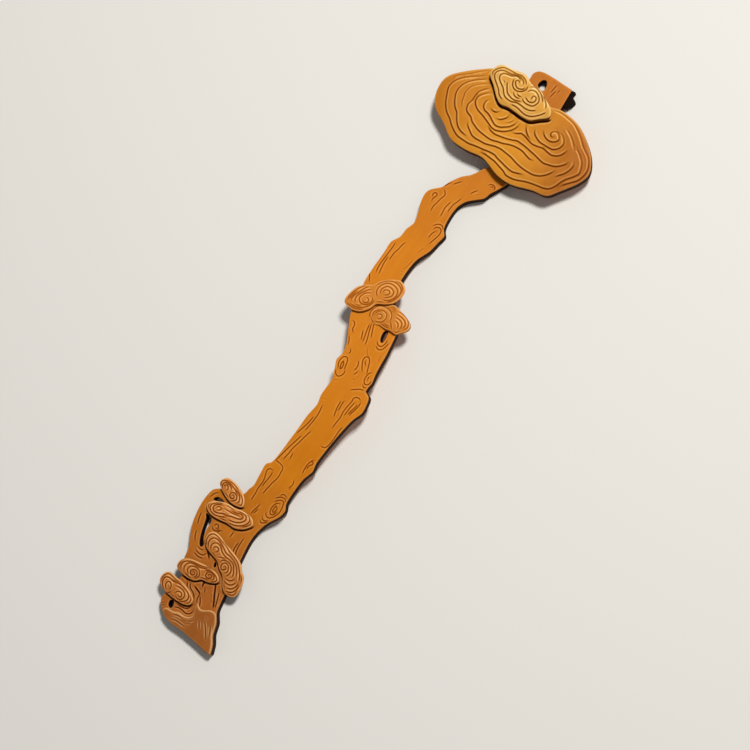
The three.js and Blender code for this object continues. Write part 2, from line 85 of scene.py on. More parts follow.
def cameraAxes(lean, turn):
    sideways = Vector((1, 0, 0))
    upwards = Vector((0, math.cos(lean), math.sin(lean)))
    back = Vector((0, -math.sin(lean), math.cos(lean)))
    right = math.cos(turn) * sideways - math.sin(turn) * upwards
    up = math.sin(turn) * sideways + math.cos(turn) * upwards
    return right, up, back


viewRight, viewUp, viewBack = cameraAxes(cameraSet["lean"], cameraSet["turn"])
eye = cameraSet["target"] + cameraSet["distance"] * viewBack


def photoRay(px, py):
    half = cameraSet["photoSize"] / 2
    across = cameraSet["pixelSize"] * (px - half) * viewRight
    upward = cameraSet["pixelSize"] * (half - py) * viewUp
    return (across + upward - cameraSet["distance"] * viewBack).normalized()


def newObject(name, data):
    made = bpy.data.objects.new(name, data)
    bpy.context.scene.collection.objects.link(made)
    return made


def addCamera():
    data = bpy.data.cameras.new("camera")
    data.sensor_fit = "HORIZONTAL"
    data.lens = data.sensor_width * cameraSet["distance"] / (cameraSet["photoSize"] * cameraSet["pixelSize"])
    data.clip_end = cameraSet["clipEnd"]
    camera = newObject("camera", data)
    turned = Matrix((viewRight, viewUp, viewBack)).transposed().to_4x4()
    camera.matrix_world = Matrix.Translation(eye) @ turned
    bpy.context.scene.camera = camera


addCamera()

# Soft lamp at the upper right of the photo; turn and height are those of its direction
lampSet = {
    "height": math.radians(66),
    "turn": math.radians(-13),
    "distance": 2.0,
    "size": 0.25,
    "power": 34.0,
}


def lampDirection():
    level, turn = math.cos(lampSet["height"]), lampSet["turn"]
    return Vector((level * math.cos(turn), level * math.sin(turn), math.sin(lampSet["height"])))


paintedLightSide = lampDirection().xy.normalized()  # the lamp's direction in plan: rims, lips and steps facing it are painted pale as highlight, and grooves facing away keep more dark wax as painted shade


mixSockets = {"first": 6, "second": 7, "out": 2}  # places of the colours among a Mix node's sockets


# One socket of a node tree; arithmetic on it adds Math nodes
class Wire:
    def __init__(self, tree, socket=None):
        self.tree = tree
        self.socket = socket

    def node(self, kind, settings=None, inputs=None, out=0):
        made = self.tree.nodes.new(kind)
        for key, value in (settings or {}).items():
            setattr(made, key, value)
        for key, value in (inputs or {}).items():
            if isinstance(value, Wire):
                self.tree.links.new(value.socket, made.inputs[key])
            else:
                made.inputs[key].default_value = value
        return Wire(self.tree, made.outputs[out] if made.outputs else None)

    def twin(self, out):
        return Wire(self.tree, self.socket.node.outputs[out])

    def maths(self, operation, first, second=0.0):
        return self.node("ShaderNodeMath", {"operation": operation}, {0: first, 1: second})

    def __add__(self, other):
        return self.maths("ADD", self, other)

    def __radd__(self, other):
        return self.maths("ADD", other, self)

    def __sub__(self, other):
        return self.maths("SUBTRACT", self, other)

    def __rsub__(self, other):
        return self.maths("SUBTRACT", other, self)

    def __mul__(self, other):
        return self.maths("MULTIPLY", self, other)

    def __rmul__(self, other):
        return self.maths("MULTIPLY", other, self)

    def __truediv__(self, other):
        return self.maths("DIVIDE", self, other)

    def __rtruediv__(self, other):
        return self.maths("DIVIDE", other, self)

    def atLeast(self, other):
        return self.maths("MAXIMUM", self, other)

    def atMost(self, other):
        return self.maths("MINIMUM", self, other)

    def mixed(self, first, second):
        values = {"Factor": self, mixSockets["first"]: first, mixSockets["second"]: second}
        settings = {"data_type": "RGBA", "clamp_factor": True}
        return self.node("ShaderNodeMix", settings, values, mixSockets["out"])


# A colour as the shaders take it, from its red, green and blue on a scale to 255
def srgb(red, green, blue):
    def linear(value):
        value /= 255
        return value / 12.92 if value <= 0.04045 else ((value + 0.055) / 1.055) ** 2.4

    return (linear(red), linear(green), linear(blue), 1)


def newFinish(name):
    material = bpy.data.materials.new(name)
    material.use_nodes = True
    material.node_tree.nodes.clear()
    place = Wire(material.node_tree).node("ShaderNodeTexCoord", out="Object")
    return material, place


noiseMiddle = 0.5  # the value that noise varies round


def noise(place, form):
    if form["stretch"]:
        place = place.node("ShaderNodeMapping", {}, {"Vector": place, "Scale": form["stretch"]})
    values = {"Vector": place, "Scale": form["scale"], "Detail": form["detail"], "Roughness": form["rough"]}
    return place.node("ShaderNodeTexNoise", {}, values)


# The shader that every finish ends in
def polished(colour, rough, relief, form):
    lift = {"Strength": form["bumpStrength"], "Distance": form["bumpHeight"], "Height": relief}
    bump = colour.node("ShaderNodeBump", {}, lift)
    shader = colour.node("ShaderNodeBsdfPrincipled", {}, {
        "Base Color": colour,
        "Roughness": rough,
        "Normal": bump,
        "Specular IOR Level": form["specular"],
    })
    colour.node("ShaderNodeOutputMaterial", {}, {"Surface": shader})


# Polished bamboo: long fine fibres, dark wax in the carved lines with pale lips, rims pale from rubbing and
# from painted highlight, and walls painted dark as shade
bambooSet = {
    "fibre": {"stretch": (40, 900, 900), "scale": 1.0, "detail": 5.0, "rough": 0.65},
    "band": {"stretch": (12, 160, 160), "scale": 1.0, "detail": 3.0, "rough": 0.5},
    "patch": {"stretch": None, "scale": 38.0, "detail": 3.0, "rough": 0.55},
    "patchShare": 0.7,
    "bandShare": 0.9,
    "fibreShare": 0.6,
    "toneShift": 0.75,
    "changeSpread": 0.5,  # how far patches carry one shade into the next
    "rimWearAndHighlight": 0.45,
    "rimPatches": 0.6,
    "waxFill": 1.4,
    "waxBands": 0.5,
    "wallShade": 0.9,
    "rough": 0.55,
    "fibreRough": 0.25,
    "waxRough": 0.25,
    "bumpStrength": 0.25,
    "bumpHeight": 0.15 * mm,
    "specular": 0.06,
}


def bambooFinish(name, body, deep, wornAndLit, line, changes=()):
    form = bambooSet
    shades = {"body": body, "deep": deep, "wornAndLit": wornAndLit, "line": line}
    material, place = newFinish(name)
    fibre, band, patch = (noise(place, form[key]) for key in ("fibre", "band", "patch"))
    top, rim, groove, lip = (
        place.node("ShaderNodeAttribute", {"attribute_name": key}, out="Fac")
        for key in ("top", "rim", "groove", "lip")
    )
    for change in changes:
        along = place.node("ShaderNodeSeparateXYZ", {}, {"Vector": place}, out=change["axis"])
        share = (along - change["from"]) / (change["to"] - change["from"])
        share = share + (patch - noiseMiddle) * form["changeSpread"]
        for key, shade in change["shades"].items():
            shades[key] = share.mixed(shades[key], shade)
    tone = patch * form["patchShare"] + band * form["bandShare"] + fibre * form["fibreShare"]
    base = (tone - form["toneShift"]).atLeast(0.0).atMost(1.0).mixed(shades["body"], shades["deep"])
    # pale rims and lips: partly rubbing, partly painted highlight on the lamp's side
    wearAndHighlight = (rim * (form["rimWearAndHighlight"] + patch * form["rimPatches"]) + lip).atMost(1.0)
    edged = wearAndHighlight.mixed(base, shades["wornAndLit"])
    waxed = (groove * (form["waxFill"] + band * form["waxBands"])).atMost(1.0)
    carved = waxed.mixed(edged, shades["line"])
    # painted shade: all but the shown face is darkened towards the line colour
    wallShaded = ((1 - top) * form["wallShade"]).mixed(carved, shades["line"])
    rough = form["rough"] + (fibre - noiseMiddle) * form["fibreRough"] + groove * form["waxRough"]
    polished(wallShaded, rough, fibre, form)
    return material


# Plain wood of cores, dowels, bark and edges; the edge strips and the cores are coloured nearly black as
# painted shade on the walls, in the holes and round the caps
woodSet = {
    "fibre": {"stretch": (60, 700, 700), "scale": 1.0, "detail": 5.0, "rough": 0.6},
    "patch": {"stretch": None, "scale": 90.0, "detail": 3.0, "rough": 0.5},
    "fibreShare": 0.9,
    "patchShare": 0.7,
    "toneShift": 0.3,
    "fibreRough": 0.2,
    "bumpStrength": 0.4,
    "bumpHeight": 0.3 * mm,
    "specular": 0.1,
}


def woodFinish(name, body, deep, rough):
    form = woodSet
    material, place = newFinish(name)
    fibre, patch = (noise(place, form[key]) for key in ("fibre", "patch"))
    tone = fibre * form["fibreShare"] + patch * form["patchShare"] - form["toneShift"]
    colour = tone.atLeast(0.0).atMost(1.0).mixed(body, deep)
    polished(colour, rough + (fibre - noiseMiddle) * form["fibreRough"], fibre + patch, form)
    return material


# Each bamboo has the shades of its body, its deeper patches, its pale rims and lips (rubbing and painted
# highlight) and the wax in its lines, whose colour also paints its walls dark as shade
finishes = {
    "shaft": bambooFinish(
        "shaft_bamboo", srgb(214, 129, 26), srgb(200, 112, 16), srgb(232, 154, 66), srgb(136, 62, 4), [
            {"axis": "X", "from": -88 * mm, "to": -165 * mm, "shades": {
                "body": srgb(176, 100, 36), "deep": srgb(152, 82, 26), "wornAndLit": srgb(216, 146, 80),
                "line": srgb(64, 24, 4)}},
            {"axis": "X", "from": 70 * mm, "to": 165 * mm, "shades": {
                "body": srgb(202, 120, 40), "deep": srgb(170, 90, 24), "wornAndLit": srgb(224, 150, 76)}}]),
    # the back has no carved lines: its line colour only paints its walls dark, as shade
    "back": bambooFinish(
        "back_bamboo", srgb(206, 120, 34), srgb(180, 94, 22), srgb(230, 156, 84), srgb(40, 16, 4)),
    "head": bambooFinish(
        "head_bamboo", srgb(216, 143, 40), srgb(202, 124, 28), srgb(248, 194, 112), srgb(104, 44, 2),
        # the head is painted darker towards its right side (-Y), as shade where its crown turns from the
        # light, and a little darker towards its left side (+Y)
        [{"axis": "Y", "from": -5 * mm, "to": -52 * mm, "shades": {
            "body": srgb(172, 96, 32), "deep": srgb(152, 80, 24), "wornAndLit": srgb(218, 148, 76)}},
         {"axis": "Y", "from": 12 * mm, "to": 45 * mm, "shades": {
             "body": srgb(202, 126, 34), "deep": srgb(186, 108, 24), "wornAndLit": srgb(238, 178, 98)}}]),
    "smallCap": bambooFinish(
        "small_cap_bamboo", srgb(220, 158, 66), srgb(204, 138, 48), srgb(255, 222, 150), srgb(112, 58, 6)),
    "collar": bambooFinish(
        "collar_bamboo", srgb(206, 127, 40), srgb(190, 108, 28), srgb(248, 180, 104), srgb(154, 78, 18)),
    "foot": bambooFinish(
        "foot_bamboo", srgb(212, 128, 48), srgb(188, 104, 34), srgb(255, 204, 138), srgb(98, 40, 4),
        [{"axis": "X", "from": -125 * mm, "to": -150 * mm, "shades": {
            "body": srgb(188, 112, 42), "deep": srgb(166, 90, 30), "wornAndLit": srgb(246, 184, 116)}}]),
    "root": bambooFinish(
        "root_bamboo", srgb(164, 95, 38), srgb(140, 76, 26), srgb(250, 196, 130), srgb(90, 38, 6)),
    # painted shade: edge strips and cores nearly black where walls and undercuts fall in shade
    "edge": woodFinish("dark_edge", srgb(50, 22, 8), srgb(22, 9, 4), 0.9),
    "core": woodFinish("core_wood", srgb(46, 20, 8), srgb(22, 9, 4), 0.9),
    "dowel": woodFinish("dowel_wood", srgb(150, 96, 48), srgb(112, 66, 30), 0.65),
    "bark": woodFinish("bark", srgb(40, 22, 12), srgb(12, 6, 3), 0.9),
}
print("finishes:", len(finishes))


# Dowels and pins leave holes in the CAD plates that the modelled ones do without
dowelReach = 1 * mm
dowelNames = [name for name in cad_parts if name.endswith(("_pin", "_dowel")) or "_dowel_" in name]
dowelSpots = [((low + high) / 2).xy for low, high in (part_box(name) for name in dowelNames)]


def onDowel(spot):
    return any((Vector(spot) - centre).length < dowelReach for centre in dowelSpots)


# Closed loops of a CAD plate's upper edge, its outline first; tilts are the upward parts of normals
loopSet = {"merge": 1e-6, "faceTilt": 0.6, "wallTilt": 0.3}


def plateLoops(node):
    work = bmesh.new()
    work.from_mesh(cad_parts[node].data)
    bmesh.ops.remove_doubles(work, verts=work.verts, dist=loopSet["merge"])
    follow = {}
    for edge in work.edges:
        if len(edge.link_faces) != 2:
            continue
        first, second = sorted(edge.link_faces, key=lambda face: face.normal.z)
        if second.normal.z > loopSet["faceTilt"] and abs(first.normal.z) < loopSet["wallTilt"]:
            for loop in second.loops:
                if loop.edge == edge:
                    follow[loop.vert.index] = loop.link_loop_next.vert.index
    places = [vert.co.copy() for vert in work.verts]
    work.free()
    loops = []
    while follow:
        here = next(iter(follow))
        loop = []
        while here in follow:
            loop.append((places[here].x, places[here].y))
            here = follow.pop(here)
        loops.append(np.array(loop))
    loops = [loop for loop in loops if not onDowel(loop.mean(0))]
    loops.sort(key=lambda loop: -np.ptp(loop[:, 0]))
    return loops


cornerTurn = math.radians(50)  # a sharper turn of an outline stays a corner
spanSteps = 12  # points of a smooth line between two given ones
shortestSpan = 1e-7
fewestSteps = 3
tiny = 1e-12  # keeps divisions by a length of nothing finite


def turnsSharply(before, here, after):
    arriving, leaving = here - before, after - here
    cosine = arriving @ leaving / (np.linalg.norm(arriving) * np.linalg.norm(leaving) + tiny)
    return cosine < math.cos(cornerTurn)


# How far along a line each of its points lies
def lengthsAlong(line):
    return np.concatenate([[0], np.cumsum(np.linalg.norm(np.diff(line, axis=0), axis=1))])


# From one value at the first station to another at the last
def blended(station, first, last, one, other):
    return (last - station) / (last - first) * one + (station - first) / (last - first) * other


# A smooth line through points, with even steps
def smoothLine(points, step, closed):
    points = np.asarray(points, float)
    count = len(points)
    spans = count if closed else count - 1
    pieces = []
    for index in range(spans):
        if closed:
            a, b, c, d = (points[(index + shift) % count] for shift in (-1, 0, 1, 2))
            if turnsSharply(a, b, c):
                a = 2 * b - c
            if turnsSharply(b, c, d):
                d = 2 * c - b
        else:
            a, b, c, d = (points[min(max(index + shift, 0), count - 1)] for shift in (-1, 0, 1, 2))
        gaps = [max(np.linalg.norm(q - p), shortestSpan) ** 0.5 for p, q in ((a, b), (b, c), (c, d))]
        ta, tb, tc, td = np.cumsum([0, *gaps])
        t = np.linspace(tb, tc, spanSteps + 1)[:-1, None]
        ab = blended(t, ta, tb, a, b)
        bc = blended(t, tb, tc, b, c)
        cd = blended(t, tc, td, c, d)
        abc = blended(t, ta, tc, ab, bc)
        bcd = blended(t, tb, td, bc, cd)
        pieces.append(blended(t, tb, tc, abc, bcd))
    line = np.concatenate(pieces + [points[:1] if closed else points[-1:]])
    run = lengthsAlong(line)
    steps = max(int(round(run[-1] / step)), fewestSteps)
    stations = np.linspace(0, run[-1], steps + 1)
    if closed:
        stations = stations[:-1]
    return np.stack([np.interp(stations, run, line[:, axis]) for axis in range(line.shape[1])], 1)


stationStray = 0.01 * mm  # points no further off their neighbours' line only mark a station


def withoutStations(loop):
    kept = []
    for before, here, after in zip(np.roll(loop, 1, 0), loop, np.roll(loop, -1, 0)):
        chord = after - before
        stray = abs(chord[0] * (here - before)[1] - chord[1] * (here - before)[0]) / np.linalg.norm(chord)
        if stray > stationStray:
            kept.append(here)
    return np.array(kept)


batch = 4000  # points tested at once


def insideLoops(points, loops):
    inside = np.zeros(len(points), bool)
    for loop in loops:
        x0, y0 = loop.T
        x1, y1 = np.roll(loop, -1, 0).T
        for first in range(0, len(points), batch):
            px, py = points[first:first + batch, 0:1], points[first:first + batch, 1:2]
            crosses = (y0 > py) != (y1 > py)
            rise = np.where(np.abs(y1 - y0) < tiny, tiny, y1 - y0)
            hits = crosses & (px < x0 + (py - y0) / rise * (x1 - x0))
            inside[first:first + batch] ^= hits.sum(1) % 2 == 1
    return inside


# A function that gives the distance of points from the nearest of the given ones
def nearestTo(places):
    finder = kdtree.KDTree(len(places))
    for index, (x, y) in enumerate(places):
        finder.insert((x, y, 0), index)
    finder.balance()
    return lambda points: np.array([finder.find((x, y, 0))[2] for x, y in points])


edgeStep = 0.1 * mm  # how finely the distance from an outline is measured


def edgeFinder(loops):
    return nearestTo(np.concatenate([smoothLine(loop, edgeStep, True) for loop in loops]))


# Rows of points along the carved lines, so that the mesh follows the lines' middles, edges and lips
rowSet = {"rimClear": 0.2 * mm, "apart": 0.13 * mm}


def carvedRows(lines, form, loops, edgeDistance):
    rows = [np.zeros((0, 2))]
    for line, strength, _ in lines:
        side = rightOf(line)
        halfWidth = form["grooveWidth"] / 2 * grooveShare(strength.max())
        outer = halfWidth + form["lipWidth"]
        for away in (0, halfWidth, -halfWidth, outer, -outer):
            rows.append(line + away * side)
    points = np.concatenate(rows)
    if not len(points):
        return points
    points = points[insideLoops(points, loops)]
    points = points[edgeDistance(points) > form["rimRound"] + rowSet["rimClear"]]
    _, firstInCell = np.unique(np.round(points / rowSet["apart"]), axis=0, return_index=True)
    return points[np.sort(firstInCell)]


# Directions at right angles to a line's points, towards its right
def rightOf(line):
    heading = np.gradient(line, axis=0)
    length = np.linalg.norm(heading, axis=1)[:, None] + tiny
    return np.stack([heading[:, 1], -heading[:, 0]], 1) / length


def turnsLeft(line):
    x, y = line.T
    return (x * np.roll(y, -1) - np.roll(x, -1) * y).sum() > 0


faintWidth = 0.45  # a faint line's width, as a share of a full one's


def grooveShare(strength):
    return faintWidth + (1 - faintWidth) * strength


# Neighbours on a closed ring, pair by pair
def pairsRound(ring):
    return list(zip(ring, ring[1:] + ring[:1]))


# Flat triangles that fill the loops: an even lattice, with closer rows beside the edge and along carved lines
latticeSet = {"edgeClear": 0.55, "rowClear": 0.45, "carvedClear": 0.6, "rowKeep": 0.9, "merge": 1e-9}


def filledLoops(loops, spacing, edgeRows, edgeDistance, carved=()):
    low, high = loops[0].min(0), loops[0].max(0)
    rows = np.arange(low[1], high[1], spacing * math.sqrt(3) / 2)
    columns = np.arange(low[0], high[0], spacing)
    lattice = np.concatenate([
        np.stack([columns + (spacing / 2 if row % 2 else 0), np.full(len(columns), y)], 1)
        for row, y in enumerate(rows)
    ])
    lattice = lattice[insideLoops(lattice, loops)]
    besideRows = [row + spacing * latticeSet["rowClear"] for row in edgeRows]
    lattice = lattice[edgeDistance(lattice) > max([spacing * latticeSet["edgeClear"], *besideRows])]
    if len(carved):
        lattice = lattice[nearestTo(carved)(lattice) > spacing * latticeSet["carvedClear"]]
    points = [*loops, lattice, np.reshape(carved, (-1, 2))]
    for row in edgeRows:
        for loop in loops:
            drawn = drawnIn(loop, row)
            drawn = drawn[insideLoops(drawn, loops)]
            if len(drawn):
                points.append(drawn[edgeDistance(drawn) > row * latticeSet["rowKeep"]])
    firsts = np.cumsum([0, *(len(loop) for loop in loops)])
    rims = [list(range(first, end)) for first, end in zip(firsts, firsts[1:])]
    edges = [pair for rim in rims for pair in pairsRound(rim)]
    flat = [Vector(point) for point in np.concatenate(points)]
    verts, _, faces, origins, _, _ = delaunay_2d_cdt(flat, edges, [], 0, latticeSet["merge"], True)
    verts = np.array([tuple(vert) for vert in verts])
    faces = np.array([face for face in faces])
    fromInput = {source: index for index, sources in enumerate(origins) for source in sources}
    borders = [[fromInput[index] for index in rim] for rim in rims]
    return verts, faces[facesInside(faces, borders)], borders


# Faces on the left of the borders and all that are joined to them
def facesInside(faces, borders):
    rims = {pair for border in borders for pair in pairsRound(border)}
    sides = [pairsRound(face) for face in faces.tolist()]
    owner = {pair: index for index, pairs in enumerate(sides) for pair in pairs}
    waiting = [owner[pair] for pair in rims]
    inside = set(waiting)
    while waiting:
        for start, end in sides[waiting.pop()]:
            beyond = owner.get((end, start))
            if (start, end) not in rims and beyond not in inside:
                inside.add(beyond)
                waiting.append(beyond)
    return sorted(inside)


# Height of a plate's top: crowned, rounded off at its rim, and falling to one side where the form says so
def topHeight(points, reach, top, form):
    fall = form["crown"] * (1 - np.minimum(1, reach / form["margin"])) ** 2
    near = np.minimum(reach, form["rimRound"])
    fall = fall + form["rimRound"] - np.sqrt(form["rimRound"] ** 2 - (form["rimRound"] - near) ** 2)
    slope = form["slope"]
    if slope:
        share = np.clip((points[:, 1] - slope["from"]) / (slope["to"] - slope["from"]), 0, 1)
        fall = fall + slope["drop"] * share * share * (3 - 2 * share)
    return top - fall + archLift(points[:, 0])


def rowsAtRim(form, shares):
    return [form["rimRound"] * share for share in shares if form["rimRound"]]


# Photo lines laid on a plate: each a row of points with its strength, which fades towards the ends,
# and the direction that its step faces, away from what the line bends round
layingSet = {"spacing": 1.6 * mm, "rimRows": (0.5, 1.1), "step": 0.28 * mm}


def linesOn(loops, top, form, lines):
    edgeDistance = edgeFinder(loops)
    rows = rowsAtRim(form, layingSet["rimRows"])
    flat, faces, _ = filledLoops(loops, layingSet["spacing"], rows, edgeDistance)
    heights = topHeight(flat, edgeDistance(flat), top, form)
    surface = BVHTree.FromPolygons(np.column_stack([flat, heights]).tolist(), faces.tolist())
    laid = []
    for pixels, weight in lines:
        hits = [surface.ray_cast(eye, photoRay(*pixel))[0] for pixel in pixels]
        hits = [(hit.x, hit.y) for hit in hits if hit is not None]
        if len(hits) < 2:
            continue
        line = smoothLine(hits, layingSet["step"], False)
        outward = rightOf(line) * (1 if turnsLeft(line) else -1)
        laid.append((line, faded(line, weight, form["fade"]), outward))
    return laid


# Strength along a line: full on a closed one, fading to a small share at the ends of an open one
fadeSet = {"closedGap": 0.5 * mm, "endShare": 0.15}


def faded(line, weight, fade):
    run = lengthsAlong(line)
    closed = np.linalg.norm(line[0] - line[-1]) < fadeSet["closedGap"]
    ends = np.full(len(run), fade) if closed else np.minimum(run, run[-1] - run)
    return weight * np.clip(fadeSet["endShare"] + ends / fade, 0, 1)


# A loop drawn in by a distance, or let out by a negative one
def drawnIn(loop, distance):
    heading = np.roll(loop, -1, 0) - np.roll(loop, 1, 0)
    inward = np.stack([-heading[:, 1], heading[:, 0]], 1) / np.linalg.norm(heading, axis=1)[:, None]
    return loop + inward * distance


# The stretches of a closed loop where its points are wanted
fewestPoints = 4


def stretches(loop, wanted, shortest):
    if wanted.all():
        return [np.concatenate([loop, loop[:1]])]
    start = int(np.argmin(wanted))
    loop, wanted = np.roll(loop, -start, 0), np.roll(wanted, -start)
    parts = np.split(loop, np.flatnonzero(np.diff(wanted)) + 1)
    kept = [part for part in parts[1::2] if len(part) >= fewestPoints]
    return [part for part in kept if lengthsAlong(part)[-1] > shortest]


# Growth rings that follow a plate's outline, wherever no line of the photo is close
ringSet = {"trueShare": 0.93, "shortest": 3 * mm, "strength": 0.9}


def growthRings(loop, laid, form):
    edgeDistance = edgeFinder([loop])
    rings = []
    for distance in form["rings"]:
        ring = drawnIn(loop, distance)
        wanted = insideLoops(ring, [loop]) & (edgeDistance(ring) > ringSet["trueShare"] * distance)
        taken = np.concatenate([line for line, _, _ in laid + rings])
        wanted &= nearestTo(taken)(ring) > form["ringClear"]
        for part in stretches(ring, wanted, ringSet["shortest"]):
            line = smoothLine(part, layingSet["step"], False)
            rings.append((line, faded(line, ringSet["strength"], form["fade"]), rightOf(line)))
    return rings


# Painted shadows: grooves cut into a plate along the sides of the caps on it that face away from the lamp,
# filled with dark wax where the caps would cast their shadows
shadeSet = {
    "step": 0.3 * mm,
    "away": 0.5 * mm,
    "edgeClear": 0.5 * mm,
    "lit": 0.1,  # a side that faces the lamp more than this has no groove
    "shortest": 1 * mm,
    "fade": 2 * mm,
}


def linesRound(loops, caps):
    lines = []
    for node, weight in caps.items():
        loop = drawnIn(nodeLoops(node, shadeSet["step"], 1)[0], -shadeSet["away"])
        wanted = insideLoops(loop, loops) & (edgeFinder(loops)(loop) > shadeSet["edgeClear"])
        wanted &= rightOf(loop) @ np.array(paintedLightSide) < shadeSet["lit"]
        for part in stretches(loop, wanted, shadeSet["shortest"]):
            lines.append((part, faded(part, weight, shadeSet["fade"]), np.zeros_like(part)))
    return lines


# Upright walls between the borders of a plate's upper and lower side
def plateWalls(verts, borders, feet, wallRows):
    faces = []
    for border, foot in zip(borders, feet):
        rings = [np.array(border)]
        for row in range(1, wallRows):
            rings.append(np.arange(len(border)) + len(verts))
            share = row / wallRows
            verts = np.concatenate([verts, verts[rings[0]] * (1 - share) + verts[foot] * share])
        rings.append(foot)
        for high, low in zip(rings, rings[1:]):
            faces += zip(high, low, np.roll(low, -1), np.roll(high, -1))
    return verts, faces


plateSet = {"rimRows": (0.3, 0.65, 1.1), "probe": 0.1 * mm, "rimReach": 0.3 * mm, "evenWear": 0.6}


# How pale a plate's edge is painted: evenly for rubbing all round, plus a painted highlight where the edge
# faces the lamp
def rimWearAndHighlight(points, reach, edgeDistance, form):
    towards = np.array(paintedLightSide) * plateSet["probe"]
    facing = (edgeDistance(points - towards) - edgeDistance(points + towards)) / (2 * plateSet["probe"])
    near = np.clip(1 - reach / (2 * form["rimRound"] + plateSet["rimReach"]), 0, 1)
    return near * (plateSet["evenWear"] + (1 - plateSet["evenWear"]) * facing)


# A plate over the loops: carved and crowned top with an edge painted pale (rubbing and painted highlight),
# upright walls and a plain underside
def plate(name, loops, top, bottom, form, lines, skin=False):
    edgeDistance = edgeFinder(loops)
    rows = rowsAtRim(form, plateSet["rimRows"])
    carved = carvedRows(lines, form, loops, edgeDistance)
    upper, upperFaces, borders = filledLoops(loops, form["spacing"], rows, edgeDistance, carved)
    reach = edgeDistance(upper)
    reach[np.concatenate(borders)] = 0
    upperZ = topHeight(upper, reach, top, form)
    lower, lowerFaces, lowerBorders = filledLoops(loops, form["underSpacing"], [], edgeDistance)
    lowerZ = bottom + archLift(lower[:, 0])
    if skin:
        lowerZ += form["crown"] * (1 - (1 - np.minimum(1, edgeDistance(lower) / form["margin"])) ** 2)
    feet = [np.array(border) + len(upper) for border in lowerBorders]
    faces = upperFaces.tolist() + (lowerFaces[:, ::-1] + len(upper)).tolist()
    verts = np.concatenate([np.column_stack([upper, upperZ]), np.column_stack([lower, lowerZ])])
    verts, walls = plateWalls(verts, borders, feet, form["wallRows"])
    mesh = bpy.data.meshes.new(name)
    mesh.from_pydata(verts.tolist(), [], faces + walls)
    # top marks the face that shows; the finish paints the rest dark as shade
    topShare = np.zeros(len(verts), np.float32)
    if form["faceUp"]:
        topShare[:len(upper)] = 1
    else:
        topShare[len(upper):len(upper) + len(lower)] = 1
        topShare[np.concatenate(feet)] = 0
    rimShare = np.zeros(len(verts), np.float32)
    rimShare[:len(upper)] = rimWearAndHighlight(upper, reach, edgeDistance, form)
    for key, values in (("top", topShare), ("rim", rimShare)):
        mesh.attributes.new(key, "FLOAT", "POINT").data.foreach_set("value", values)
    return newObject(name, mesh)


def nodeLoops(node, step, count=None):
    loops = [smoothLine(withoutStations(loop), step, True) for loop in plateLoops(node)[:count]]
    turned = []
    for index, loop in enumerate(loops):
        turned.append(loop if turnsLeft(loop) == (index == 0) else loop[::-1])
    return turned


# Carves lines into a plate: grooves, or steps with a long slant on the side that they face. Grooves that face
# the lamp keep less dark wax, so those facing away read darker as painted shade, and the pale lips beside
# them are painted highlight, strongest on the lamp's side
carvingSet = {"litWaxLoss": 0.45, "lipHighlightBase": 0.6, "unevenDetail": 3.0}


